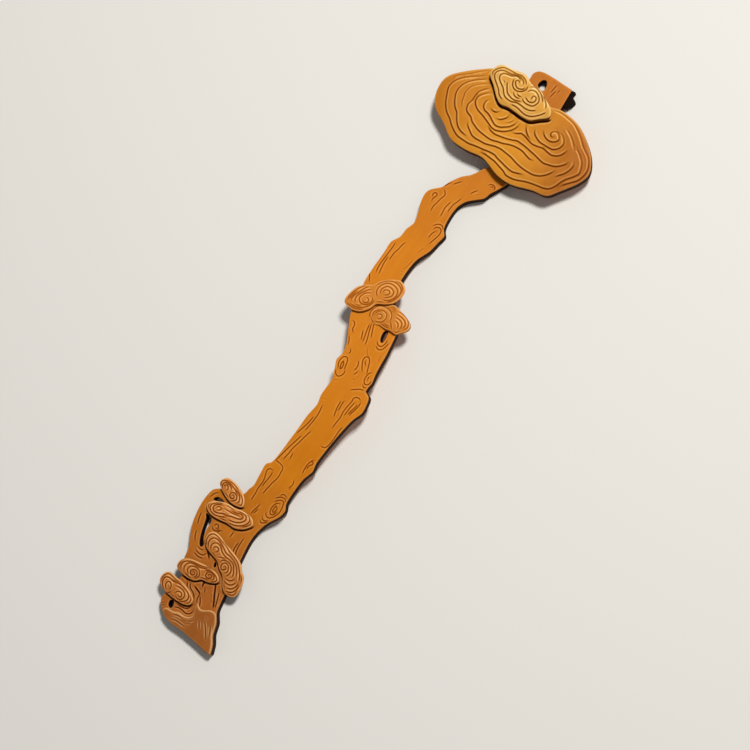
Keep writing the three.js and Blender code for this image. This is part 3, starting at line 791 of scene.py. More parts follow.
def carvingTree():
    tree = bpy.data.node_groups.new("carved_lines", "GeometryNodeTree")
    kinds = {
        "Geometry": "NodeSocketGeometry",
        "Lines": "NodeSocketObject",
        "Groove Width": "NodeSocketFloat",
        "Groove Depth": "NodeSocketFloat",
        "Slant Width": "NodeSocketFloat",
        "Step Share": "NodeSocketFloat",
        "Worn Side": "NodeSocketVector",
        "Lip Width": "NodeSocketFloat",
        "Unevenness": "NodeSocketFloat",
        "Uneven Size": "NodeSocketFloat",
        "Seed": "NodeSocketFloat",
        "Material": "NodeSocketMaterial",
    }
    for name, kind in kinds.items():
        tree.interface.new_socket(name, in_out="INPUT", socket_type=kind)
    tree.interface.new_socket("Geometry", in_out="OUTPUT", socket_type="NodeSocketGeometry")
    start = Wire(tree)
    enter = tree.nodes.new("NodeGroupInput")
    given = {name: Wire(tree, enter.outputs[name]) for name in kinds}

    def vectors(operation, first, second, out=0):
        return start.node("ShaderNodeVectorMath", {"operation": operation}, {0: first, 1: second}, out)

    def named(name, kind):
        return start.node("GeometryNodeInputNamedAttribute", {"data_type": kind}, {"Name": name})

    def atNearest(name, kind):
        settings = {"data_type": kind, "domain": "POINT"}
        values = {"Geometry": lines, "Value": named(name, kind), "Index": nearest}
        return start.node("GeometryNodeSampleIndex", settings, values)

    def stored(geometry, name, value):
        settings = {"data_type": "FLOAT", "domain": "POINT"}
        values = {"Geometry": geometry, "Name": name, "Value": value}
        return start.node("GeometryNodeStoreNamedAttribute", settings, values)

    place = start.node("GeometryNodeInputPosition")
    normal = start.node("GeometryNodeInputNormal")
    top = named("top", "FLOAT")
    lines = start.node("GeometryNodeObjectInfo", {}, {"Object": given["Lines"]}, out="Geometry")
    plan = vectors("MULTIPLY", place, (1, 1, 0))
    toLines = {0: lines, "Sample Position": plan}
    away = start.node("GeometryNodeProximity", {"target_element": "EDGES"}, toLines, "Distance")
    offset = vectors("SUBTRACT", plan, away.twin("Position"))
    nearest = start.node("GeometryNodeSampleNearest", {"domain": "POINT"}, toLines)
    strength = atNearest("strength", "FLOAT")
    outward = atNearest("outward", "FLOAT_VECTOR")
    faced = vectors("DOT_PRODUCT", offset, outward, "Value")
    stepped = start.maths("GREATER_THAN", faced, 0.0) * given["Step Share"]
    reach = given["Groove Width"] / 2 * grooveShare(strength)
    steep = (1 - away / reach).atLeast(0.0)
    slant = (1 - away / given["Slant Width"]).atLeast(0.0)
    # how far each step faces the lamp
    side = vectors("DOT_PRODUCT", outward, given["Worn Side"], "Value")
    litSideHighlight = side.atLeast(0.0) * given["Step Share"]
    # painted shade: grooves facing the lamp keep less wax
    litSideWaxLoss = given["Step Share"] * (carvingSet["litWaxLoss"] + side * carvingSet["litWaxLoss"])
    groove = steep * strength * top * (1 - litSideWaxLoss)
    # painted highlight: pale lips beside the grooves, stronger on the lamp's side
    besideLip = start.maths("ABSOLUTE", away - reach - given["Lip Width"]) / given["Lip Width"]
    lipHighlight = (1 - besideLip).atLeast(0.0) * (1 - stepped) * (carvingSet["lipHighlightBase"] + litSideHighlight)
    lip = lipHighlight * strength.atMost(1.0) * top
    sunk = (steep * (1 - stepped) + slant * stepped) * strength * top * given["Groove Depth"]
    uneven = start.node("ShaderNodeTexNoise", {"noise_dimensions": "4D"}, {
        "Vector": place,
        "W": given["Seed"],
        "Scale": 1 / given["Uneven Size"],
        "Detail": carvingSet["unevenDetail"],
    })
    wander = (uneven - noiseMiddle) * given["Unevenness"]
    down = start.node("ShaderNodeCombineXYZ", {}, {"Z": 0 - sunk})
    waved = start.node("ShaderNodeVectorMath", {"operation": "SCALE"}, {0: normal, "Scale": wander})
    shift = vectors("ADD", down, waved)
    carved = start.node("GeometryNodeSetPosition", {}, {"Geometry": given["Geometry"], "Offset": shift})
    marked = stored(stored(carved, "groove", groove), "lip", lip)
    real = start.node("GeometryNodeRealizeInstances", {}, {"Geometry": marked})
    dressed = start.node("GeometryNodeSetMaterial", {}, {"Geometry": real, "Material": given["Material"]})
    leave = tree.nodes.new("NodeGroupOutput")
    tree.links.new(dressed.socket, leave.inputs[0])
    return tree


carving = carvingTree()


farPoint = (0, 0, -1)  # far from every piece, so that a mesh of no lines isn't empty


# The laid lines as a flat mesh of edges that the carving measures from
def lineMesh(name, lines):
    verts, edges, strengths, facing = [farPoint], [], [0.0], [(0, 0, 0)]
    for line, strength, outward in lines:
        first = len(verts)
        verts += [(x, y, 0) for x, y in line]
        edges += [(first + index, first + index + 1) for index in range(len(line) - 1)]
        strengths += list(strength)
        facing += [(x, y, 0) for x, y in outward]
    mesh = bpy.data.meshes.new(name)
    mesh.from_pydata(verts, edges, [])
    mesh.attributes.new("strength", "FLOAT", "POINT").data.foreach_set("value", strengths)
    mesh.attributes.new("outward", "FLOAT_VECTOR", "POINT").data.foreach_set("vector", np.ravel(facing))
    return newObject(name, mesh)


def carve(piece, form, lines, finish):
    drawn = lineMesh(piece.name + "_lines", lines)
    modifier = piece.modifiers.new("carving", "NODES")
    modifier.node_group = carving
    values = {
        "Lines": drawn,
        "Groove Width": form["grooveWidth"],
        "Groove Depth": form["grooveDepth"],
        "Slant Width": form["slantWidth"],
        "Step Share": form["stepShare"],
        "Worn Side": paintedLightSide.to_3d(),
        "Lip Width": form["lipWidth"],
        "Unevenness": form["unevenness"],
        "Uneven Size": form["unevenSize"],
        "Seed": form["seed"],
        "Material": finishes[finish],
    }
    for item in carving.interface.items_tree:
        if item.in_out == "INPUT" and item.name in values:
            modifier[item.identifier] = values[item.name]
    bpy.context.view_layer.update()
    graph = bpy.context.evaluated_depsgraph_get()
    carved = piece.evaluated_get(graph)
    mesh = bpy.data.meshes.new_from_object(carved, preserve_all_data_layers=True, depsgraph=graph)
    piece.modifiers.remove(modifier)
    plain = piece.data
    piece.data = mesh
    mesh.name = piece.name
    bpy.data.meshes.remove(plain)
    bpy.data.objects.remove(drawn)


sharpTurn = math.radians(55)  # a sharper edge of a piece shows as a corner


def settle(piece, nodes):
    piece.data.shade_smooth()
    piece.data.set_sharp_from_angle(angle=sharpTurn)
    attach(piece, "root")
    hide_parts(*nodes)
    print("piece:", piece.name, len(piece.data.polygons), "faces")


# What every plate starts from; each piece names what differs
plainForm = {
    "faceUp": True,
    "spacing": 0.6 * mm,
    "outlineStep": 0.45 * mm,
    "underSpacing": 3 * mm,
    "rimRound": 0.5 * mm,
    "crown": 0.3 * mm,
    "margin": 2.5 * mm,
    "wallRows": 1,
    "grooveWidth": 1.2 * mm,
    "grooveDepth": 0.5 * mm,
    "slantWidth": 1.6 * mm,
    "stepShare": 0.0,
    "lipWidth": 0.45 * mm,
    "slope": None,
    "rings": (),
    "ringClear": 0.9 * mm,
    "fade": 2.5 * mm,
    "unevenness": 0.2 * mm,
    "unevenSize": 8 * mm,
    "seed": 1.0,
}


def addPlate(name, node, top, bottom, changes, finish, lines=(), skin=False, alsoFor=(), caps=None):
    form = {**plainForm, **changes}
    loops = nodeLoops(node, form["outlineStep"], 1 if skin else None)
    laid = linesOn(loops, top, form, lines) if lines else []
    if form["rings"]:
        laid += growthRings(loops[0], laid, form)
    if caps:
        laid += linesRound(loops, caps)
    piece = plate(name, loops, top, bottom, form, laid, skin)
    carve(piece, form, laid, finish)
    settle(piece, [node, *alsoFor])


def weighted(deep, faint=(), faintness=0.45):
    return [(line, 1.0) for line in deep] + [(line, faintness) for line in faint]


# Shaft: knots, bark steps and long grain lines, read from the photo in its pixels
shaftKnots = [
    [(343.5, 361), (341.5, 363), (340.5, 366), (340, 369), (342, 367.5), (343.5, 364), (343.5, 361)],
    [(338, 368.5), (338.5, 363), (341, 358.5), (344.5, 356.5), (347.5, 358), (347, 362), (345.5, 366),
     (344, 370)],
    [(336, 369), (335.5, 373), (337.5, 376), (341, 375.5), (344, 373), (345, 370)],
    [(348, 353.5), (350, 352.5), (350.5, 350), (350, 348)],
    [(366, 360.5), (365, 363), (366, 366)],
    [(362, 372), (362, 366), (363, 360), (365.5, 357), (368.5, 357.5), (369.5, 361), (368.5, 366),
     (366.5, 374)],
    [(369.5, 376.5), (368, 378.5), (367, 381)],
    [(372, 372.5), (369, 373.5), (366, 376.5), (364, 381), (365, 384.5), (368.5, 384.5), (371.5, 381)],
    [(362.5, 384.5), (363.5, 387.5), (366.5, 388)],
    [(433, 196.5), (432.5, 195), (434, 193), (436.5, 193), (437, 195), (435, 197), (432.5, 199),
     (431.5, 201.5)],
    [(360.5, 401), (359, 398.5), (356, 397.5), (353.5, 398.5), (352, 401), (349, 404.5), (346, 408),
     (343, 412), (340.5, 417), (337.5, 421), (334, 425.5), (332, 428.5)],
    [(360.5, 402), (359.5, 405), (357, 408), (354, 411), (351, 413.5), (349, 416)],
    [(355, 402.5), (352, 405.5), (349, 409), (346, 413), (344, 416)],
    [(357.5, 404.5), (354.5, 408), (350.5, 411.5), (347.5, 415)],
    [(310.5, 462), (313, 462.5), (312.5, 464.5), (310, 465.5), (308, 467), (306.5, 469.5)],
    [(302, 474), (304, 470), (306, 466.5), (309, 463), (312, 461), (314.5, 460)],
    [(273, 470.5), (271, 469), (268.5, 469), (266.5, 471), (265.5, 474.5), (264.5, 478), (262.5, 482),
     (260, 485.5), (257.5, 489), (255.5, 493), (253, 497), (251, 500)],
    [(272.5, 471.5), (271.5, 474), (269.5, 477), (267, 480), (264.5, 483), (262, 486.5)],
    [(276, 506), (274, 508.5), (272.5, 511), (273, 512.5), (275.5, 511), (277, 508.5), (276, 506)],
    [(280, 503.5), (277, 503.5), (274, 505), (271.5, 508), (270, 511.5), (270.5, 514.5), (273.5, 514.5),
     (277, 512)],
    [(266, 512), (266, 516), (268.5, 518), (272, 517.5), (276, 515.5), (279, 513), (281.5, 509),
     (283, 505), (283.5, 502), (281.5, 500.5), (278, 500.5), (274, 502)],
    [(275, 498.5), (278, 497.5), (282, 497.5), (285, 499.5), (285.5, 502)],
    [(280, 496), (283, 494.5), (285.5, 496), (286.5, 498.5)],
    [(262, 516), (262.5, 519.5), (265, 521), (268, 520.5)],
    [(260, 519.5), (260.5, 522.5), (264, 523), (268, 522)],
    [(433, 226), (436, 224.5), (440, 224.5), (442.5, 226.5), (443, 230)],
    [(433, 229.5), (436, 227.5), (439.5, 228), (441, 230.5), (440, 233.5), (437, 237), (433, 240.5),
     (429, 244)],
    [(428, 238), (432, 233.5), (436, 231)],
    [(488, 185.5), (491, 184.5), (494, 186), (495, 188.5), (493, 190.5)],
    [(490, 187.5), (492, 187), (493.5, 188.5)],
    [(214, 526), (216, 524), (218.5, 525.5), (218, 528), (215.5, 528.5)],
    [(212, 526), (213, 529.5), (216, 531), (219.5, 529)],
    [(377, 341), (378, 345), (381, 346.5), (385, 344), (387.5, 340)],
    [(376, 346), (378, 349.5), (382, 349.5), (386, 346.5), (389, 343)],
]
shaftSteps = [
    [(350, 390), (355, 389.5), (361, 389.5), (364, 391), (366, 392)],
    [(275, 459.5), (278, 462), (280.5, 464), (282.5, 467), (282.5, 469.5), (281, 472), (279.5, 475),
     (277.5, 478), (275, 480.5), (272, 483), (269.5, 486), (266.5, 489), (264.5, 491.5), (262.5, 494)],
]
shaftGrain = [
    [(405.5, 242.5), (402, 245), (398.5, 249), (394, 253), (391.5, 256.5), (389, 260)],
    [(388, 256.5), (385.5, 260.5), (383, 264.5), (381, 269), (378.5, 274)],
    [(395.5, 242.5), (393, 246.5), (390, 250.5), (387, 254.5), (384, 258.5), (381, 262.5), (378, 267.5),
     (376, 272)],
    [(369.5, 273), (369.5, 277), (369, 282)],
    [(430.5, 211), (433, 206.5), (436, 203.5), (441, 198.5), (444.5, 195.5), (445, 192.5), (444, 189)],
    [(440, 216.5), (442.5, 212.5), (444.5, 208.5), (447.5, 205), (451, 202)],
    [(447.5, 212), (450, 208.5), (453, 205), (457, 202), (461.5, 198.5)],
    [(444, 186.5), (448, 184), (451.5, 182.5)],
    [(453, 184.5), (457, 183), (462, 181.5)],
    [(470, 194), (474, 192), (478, 190.5)],
    [(371.5, 323.5), (369.5, 330), (368, 336), (366.5, 341), (365, 345)],
    [(369.5, 324), (366.5, 331), (364.5, 337), (362.5, 342)],
    [(374, 323.5), (372.5, 330), (371, 338)],
    [(363, 330), (362, 335), (361, 340)],
    [(352.5, 320), (354.5, 322.5), (354, 326), (352.5, 329), (353.5, 333)],
    [(358.5, 360.5), (358, 365), (356, 368.5), (353.5, 370.5)],
    [(358, 371), (355.5, 373.5), (353, 374.5)],
    [(349, 335), (349, 340), (348, 345)],
    [(341, 401), (338.5, 405), (336.5, 409), (335, 413), (333.5, 417)],
    [(344.5, 400.5), (342, 404), (340, 407.5), (338, 411)],
    [(342.5, 427), (339, 431), (336, 435.5), (333, 440), (330, 443.5), (326.5, 447), (323, 447.5),
     (320.5, 445.5)],
    [(322.5, 405), (319, 412.5), (314, 420), (308.5, 426.5), (305, 430.5)],
    [(313.5, 416.5), (308, 423), (302, 428.5), (296.5, 433.5)],
    [(311, 431), (305, 436.5), (299, 442.5), (293, 448), (288.5, 453.5), (283, 459.5)],
    [(301.5, 435.5), (295, 441.5), (288, 448), (282, 454), (276, 460)],
    [(293, 453), (289.5, 459.5)],
    [(260, 504), (257, 507.5), (253.5, 510.5), (250.5, 514)],
    [(258, 509), (255, 512), (253, 513.5)],
    [(294, 480), (293, 484), (291, 486.5), (288.5, 488.5)],
    [(238.5, 542.5), (234.5, 548), (232.5, 553)],
    [(244, 538), (240, 544), (237, 549.5), (235.5, 554), (236, 557)],
    [(234, 531.5), (229.5, 537.5)],
]
shaftFaint = [
    [(367.5, 348), (367, 353), (368.5, 357)],
    [(381.5, 355), (379, 360), (377.5, 363.5)],
    [(359, 375), (357, 378)],
    [(403, 269.5), (408, 265.5), (413, 259.5)],
    [(475, 195.5), (480, 194)],
    [(400, 271), (403, 271.5)],
    [(400, 274.5), (403, 274.5)],
    [(405, 258), (408, 258.5)],
    [(417, 253), (421, 250), (425, 248)],
    [(351, 379.5), (355, 379.5)],
    [(352, 383), (355, 382.5)],
    [(333, 380), (335, 379.5), (338, 380)],
    [(333, 383), (335, 383.5)],
    [(322, 398), (326, 399)],
    [(321, 401.5), (323.5, 402)],
    [(343, 398), (346, 397)],
    [(289, 486), (289, 490), (291, 488)],
]
footCracks = [
    [(215.8, 584), (214.9, 590.5), (214.2, 596.5), (213.9, 601.5), (212.9, 608)],
    [(194.5, 586), (197.3, 589.9), (199.2, 592.5), (199.5, 595)],
    [(207, 551), (208.5, 555), (209, 559)],
    [(183.3, 575), (187, 579), (192, 580.5)],
    [(202.5, 587), (203, 584.5), (204.5, 582.5), (206, 581.5)],
]
footLines = [
    [(219, 592.5), (217.5, 599), (215, 608)],
    [(187.5, 581.5), (187, 586), (188.8, 591), (192, 596.5), (192.4, 599)],
    [(190.5, 582.5), (190.1, 587.3), (193.4, 593.8), (194, 599)],
    [(199.9, 593.8), (197.3, 598.4), (196.6, 602.3)],
    [(200, 596), (200, 603), (199, 608)],
    [(210.9, 594.5), (211.2, 597)],
    [(210.9, 599.5), (211, 602)],
    [(205, 588), (204.5, 593)],
    [(161.5, 605), (164.8, 604.8)],
    [(161.5, 602.5), (164.5, 602)],
    [(174, 607), (178, 607.5), (182, 610), (186, 613.5), (190.5, 613.5), (193, 611)],
    [(177, 604), (182, 607), (187, 608.5), (191, 606.5)],
    [(195.5, 549), (198.5, 553), (203, 555), (206.5, 553)],
    [(194, 552), (198, 556.5), (203, 558.5)],
    [(197.5, 545.5), (200.5, 549), (204, 550)],
    [(196.5, 530), (195, 536), (195, 541)],
    [(201.5, 512), (199, 518), (197.5, 524)],
    [(210, 497), (214.5, 493.5), (219, 492.5)],
    [(217, 533), (219.5, 531), (222.5, 531)],
]
stubLines = [
    [(557, 85), (554, 88.5), (550.5, 92.5)],
    [(560, 90), (557, 93.5)],
    [(556, 91), (553, 94), (549.5, 97.5)],
    [(563, 97), (569, 96)],
]
shaftSet = {
    "spacing": 0.75 * mm,
    "grooveWidth": 0.85 * mm,
    "grooveDepth": 0.4 * mm,
    "rimRound": 0.25 * mm,
    "crown": 0.15 * mm,
    "unevenness": 0.35 * mm,
    "unevenSize": 6 * mm,
    "lipWidth": 0.3 * mm,
    "fade": 1.5 * mm,
    "seed": 3.0,
}
crackStrength = 1.8
# how dark the painted shadow grooves along the caps' sides away from the lamp are
shaftCapShadows = {"collar_upper_face": 0.3, **{f"fungus_{number}_face": 1.7 for number in range(1, 6)}}
shaftLines = weighted(shaftKnots + shaftGrain + shaftSteps + footLines, shaftFaint)
shaftLines += weighted(stubLines) + weighted([], footCracks, crackStrength)
addPlate("shaftFace", "shaft_face", faceTop, faceBottom, shaftSet, "shaft", shaftLines,
         caps=shaftCapShadows)

backSet = {
    "faceUp": False,
    "spacing": 2.5 * mm,
    "underSpacing": 0.9 * mm,
    "crown": 0,
    "rimRound": 0,
    "unevenness": 0.0,
}
edgeSet = {
    "spacing": 2 * mm,
    "rimRound": 0,
    "crown": 0,
    "wallRows": 6,
    "unevenness": 0.25 * mm,
    "unevenSize": 5 * mm,
}
addPlate("shaftBack", "shaft_back", backTop, 0, backSet, "back")
edgeNodes = {"edgeLeft": "shaft_edge_left", "edgeRight": "shaft_edge_right", "stubEnd": "stub_end_strip"}
for name, node in edgeNodes.items():
    addPlate(name, node, faceBottom, backTop, edgeSet, "edge")
barkLow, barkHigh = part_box("stub_bark")
barkSet = {
    "spacing": 0.7 * mm,
    "underSpacing": 0.7 * mm,
    "wallRows": 14,
    "rimRound": 0.3 * mm,
    "crown": 0.8 * mm,
    "unevenness": 1.6 * mm,
    "unevenSize": 1.6 * mm,
    "outlineStep": 0.6 * mm,
}
addPlate("stubBark", "stub_bark", barkHigh.z, barkLow.z, barkSet, "bark")

# Root sheath with its fibres running to the tip
sheathLines = [
    [(170, 618.5), (176, 620.5), (181, 624), (185, 627)],
    [(187, 621), (191, 621), (194, 619.5)],
    [(186, 623.5), (190, 623.5)],
    [(188, 618.5), (191, 618.5), (193.5, 617)],
    [(199, 620), (199, 630)],
    [(204.5, 621), (205.5, 630), (205.5, 640)],
    [(206, 617), (207, 619)],
    [(210.5, 625), (209.5, 637)],
    [(172, 614), (178, 615.5), (183, 618.5)],
]
sheathSet = {"spacing": 0.45 * mm, "grooveWidth": 0.9 * mm, "grooveDepth": 0.3 * mm}
sheathStrength = 0.65
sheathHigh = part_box("root_sheath")[1].z
addPlate("rootSheath", "root_sheath", sheathHigh, faceTop, sheathSet, "root",
         weighted([], sheathLines, sheathStrength))

# Head: nested growth rings round two swirls
headLines = [
    [(487, 75.5), (475, 76), (463, 77.5), (455, 80.5), (449, 86), (446.5, 95.5), (445.5, 103.5),
     (446.5, 111.5), (449.5, 118.5), (451, 124), (453.5, 130), (457, 135.5), (463, 140), (468.5, 143.5),
     (474, 145.5), (484.5, 150), (489.5, 152), (494.5, 155), (497, 158), (502, 163), (507, 168),
     (511.5, 171.5), (516, 173), (523, 174.5)],
    [(480, 152), (484.5, 154), (490, 158), (494.5, 161.5), (498.5, 166), (503, 171), (505.5, 175),
     (512.5, 179), (518, 180.5), (524, 181.5), (531, 183.5), (537.5, 186), (542.5, 188), (547.5, 189),
     (552, 188), (556.5, 185.5), (560.5, 182.5), (566, 179.5), (572, 177.5), (576.5, 175.5), (579, 174),
     (581, 169), (582, 163), (581, 158), (579.5, 153.5), (577.5, 149.5), (576.5, 145.5)],
    [(488.5, 79), (477, 79.5), (467, 82), (460, 86.5), (456, 92.5), (454.5, 102), (455, 107.5),
     (456.5, 112), (456.5, 118), (457, 123.5), (458.5, 128), (461.5, 132), (464.5, 134.5), (466.5, 136)],
    [(468, 121.5), (467.5, 124.5), (469.5, 130.5), (472, 135.5), (475.5, 138.5), (480, 141),
     (484.5, 143.5), (489.5, 145), (495, 146.5), (500.5, 149), (505, 152.5), (510.5, 157), (516, 163),
     (521, 167.5), (527.5, 172), (533.5, 175), (539.5, 176), (546, 175), (551, 173), (555, 170.5)],
    [(491, 88), (485, 89), (478, 92), (472, 100), (468, 104), (466.5, 109.5), (467.5, 112.5),
     (470.5, 116.5), (472, 121.5), (474.5, 125.5), (478, 130), (484.5, 135.5), (489.5, 139), (493, 140.5),
     (497, 141.5), (503, 143.5), (508.5, 144.5), (514.5, 146.5), (522, 151), (526, 155.5), (529.5, 159),
     (533.5, 160.5)],
    [(492, 92.5), (486.5, 93), (481.5, 94.5), (478, 96.5), (475.5, 100.5), (475.5, 104.5), (477.5, 109.5),
     (483, 116), (488.5, 123.5), (491.5, 127.5), (495, 130), (499, 131), (504, 131.5), (510, 130.5),
     (514, 129), (517.5, 126.5), (520, 123.5)],
    [(512, 132.5), (516.5, 133.5), (521, 133.5), (524.5, 136), (528, 140), (532, 144), (537.5, 146.5),
     (543, 148.5), (547, 152), (551, 155), (555, 156), (560, 155.5), (564.5, 153), (568, 150)],
    [(526.5, 125), (526, 130), (527.5, 135), (530, 139.5)],
    [(490.5, 99.5), (487.5, 100), (485, 102), (483.5, 106), (484.5, 110), (487.5, 113), (490, 116.5),
     (492, 120.5), (495, 125), (499.5, 127), (504.5, 127), (509.5, 126.5), (514.5, 124), (517, 121)],
    [(495.5, 118), (499.5, 119.5), (503, 119), (507, 117.5), (510, 114)],
    [(490.5, 107.5), (492.5, 110.5), (496, 112), (500.5, 111)],
    [(488, 126), (490.5, 130.5), (494.5, 134), (499, 136), (506, 138.5), (512, 140), (517, 141),
     (521, 143.5), (525.5, 147), (530, 151), (534.5, 155), (538.5, 159), (543, 163), (548.5, 165),
     (554.5, 166.5), (560.5, 166), (566, 164), (569, 161.5)],
    [(554, 177), (559, 175.5), (563.5, 174), (568, 171.5), (571, 169), (573.5, 165.5), (574, 161)],
    [(559, 186.5), (562, 185.5), (566.5, 184), (572, 182.5), (577, 181), (581.5, 178), (585, 174.5),
     (588, 169.5), (589, 163), (588.5, 157.5), (586, 152), (583.5, 146.5), (582, 141), (580, 135),
     (577.5, 129.5), (574.4, 124), (568.2, 118), (561.6, 113), (554, 109.8)],
    [(566, 128), (569, 132), (571.5, 137), (573.5, 143), (574.5, 150)],
    [(543.5, 130.5), (544, 135), (546, 138.5), (549, 141), (552.5, 142), (556.5, 141.5), (559, 139.5),
     (559, 135.5), (557.5, 132.5), (554, 131.5), (551, 133), (550.5, 135), (552, 137), (554.5, 136.5)],
    [(535, 129), (534.5, 133.5), (536.5, 138), (539.5, 142), (544, 145), (549, 148), (552.5, 149.5),
     (557.5, 149), (561, 147), (563.5, 144), (564, 140.5), (562.5, 135), (559, 131)],
]
headFaint = [
    [(461.5, 107), (462, 101), (463.5, 97), (465, 92.5), (471, 86.5), (479, 84), (490, 83.5)],
    [(505, 122.5), (509, 122.5), (512.5, 121), (515.5, 118.5)],
    [(452, 79.5), (455.5, 76), (460.5, 74.5), (469.5, 73.5), (478.5, 71.5), (489.5, 70)],
]
headSet = {
    "spacing": 0.55 * mm,
    "rimRound": 0.5 * mm,
    "crown": 3 * mm,
    "margin": 16 * mm,
    "grooveWidth": 1.15 * mm,
    "grooveDepth": 0.7 * mm,
    "slantWidth": 3.4 * mm,
    "stepShare": 0.8,
    "lipWidth": 0.45 * mm,
    "fade": 3.5 * mm,
    "seed": 7.0,
}
headFaintness = 0.6
# a painted shadow round the small cap's side away from the lamp
headCapShadows = {"small_cap_face": 2.2}
headRimFoot, headTop = (corner.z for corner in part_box("head_face"))
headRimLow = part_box("head_back")[1].z
addPlate("headFace", "head_face", headTop, headRimFoot, headSet, "head",
         weighted(headLines, headFaint, headFaintness), skin=True, caps=headCapShadows)
rimSet = {**edgeSet, "wallRows": 5}
addPlate("headRim", "head_rim", headRimFoot, headRimLow, rimSet, "edge")
headBackSet = {**backSet, "underSpacing": 1.2 * mm}
addPlate("headBack", "head_back", headRimLow, faceTop, headBackSet, "back")

# Small cap with its two swirls
smallLines = [
    [(492.5, 75), (493, 71.5), (495.5, 69.5), (499.5, 68), (504, 67.5), (508, 69), (512.5, 71.5),
     (517, 74), (521.5, 75.5), (524.5, 78.5), (526, 81.5), (526, 85)],
    [(502, 99.5), (499, 94.5), (498.5, 90), (497, 85), (495.5, 81), (494.5, 77), (495, 73.5), (497, 71.5),
     (500, 70.5), (504, 70.5), (507.5, 72), (511.5, 74), (515.5, 75), (519.5, 76.5), (522, 79),
     (523.5, 82), (523, 85)],
    [(536, 110.5), (530, 110.5), (525, 108.5), (520.5, 105), (516, 102.5), (511, 101.5), (507, 99),
     (504.5, 96), (503.5, 92), (503, 88), (501.5, 84.5), (500, 81), (499.5, 77), (501, 74.5), (504, 73.5),
     (508, 74.5), (512, 76), (516.5, 76), (519.5, 78), (521, 80.5)],
    [(503.5, 79.5), (505, 83)],
    [(521, 101.5), (516, 100.5), (512.5, 99), (509.5, 96), (507.5, 93), (507, 89.5), (507, 85),
     (507.5, 82)],
    [(514, 79), (513, 81.5), (512.5, 84.5), (513.5, 88), (516, 90.5), (519.5, 91.5), (523.5, 91),
     (526.5, 89), (528, 86)],
    [(519, 83.5), (519.5, 82), (518, 80.5), (516, 81), (515.5, 83), (516, 86), (517.5, 88), (520, 89),
     (523, 89), (525, 87.5)],
    [(513.5, 92), (514, 95), (516.5, 97.5), (519.5, 98.5)],
    [(517, 93.5), (518.5, 95.5), (521.5, 97)],
    [(511, 104.5), (514.5, 106), (518, 108.5), (521.5, 112), (525.5, 115), (531, 116.5), (536, 116),
     (541.5, 114.5), (546, 112.5)],
    [(522.5, 98.5), (523, 100.5), (525, 103), (528.5, 105), (532.5, 106), (536, 104.5), (538.5, 102),
     (539, 98.5), (538, 95), (536, 92), (533, 90.5), (530, 90.5), (527.5, 92)],
    [(525.5, 97), (526.5, 99), (528.5, 101.5), (531.5, 102.5), (534.5, 101.5), (536, 99), (535.5, 97),
     (533.5, 96), (532, 97.5), (531, 99.5)],
    [(530.5, 87), (534.5, 87), (538, 88.5), (540, 92), (542, 97), (542.5, 102.5)],
    [(543, 95), (545, 100), (546, 105), (545.5, 109)],
]
smallSet = {
    "spacing": 0.45 * mm,
    "rimRound": 0.5 * mm,
    "crown": 1.4 * mm,
    "margin": 7 * mm,
    "grooveWidth": 1.0 * mm,
    "grooveDepth": 0.6 * mm,
    "slantWidth": 1.8 * mm,
    "stepShare": 0.45,
    "lipWidth": 0.42 * mm,
    "fade": 1.2 * mm,
    "seed": 9.0,
}
smallFoot, smallTop = (corner.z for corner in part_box("small_cap_face"))
addPlate("smallCapFace", "small_cap_face", smallTop, smallFoot, smallSet, "smallCap",
         weighted(smallLines), skin=True)
smallCoreSet = {**edgeSet, "outlineStep": 0.4 * mm}
addPlate("smallCapCore", "small_cap_core", smallFoot, headTop, smallCoreSet, "core")

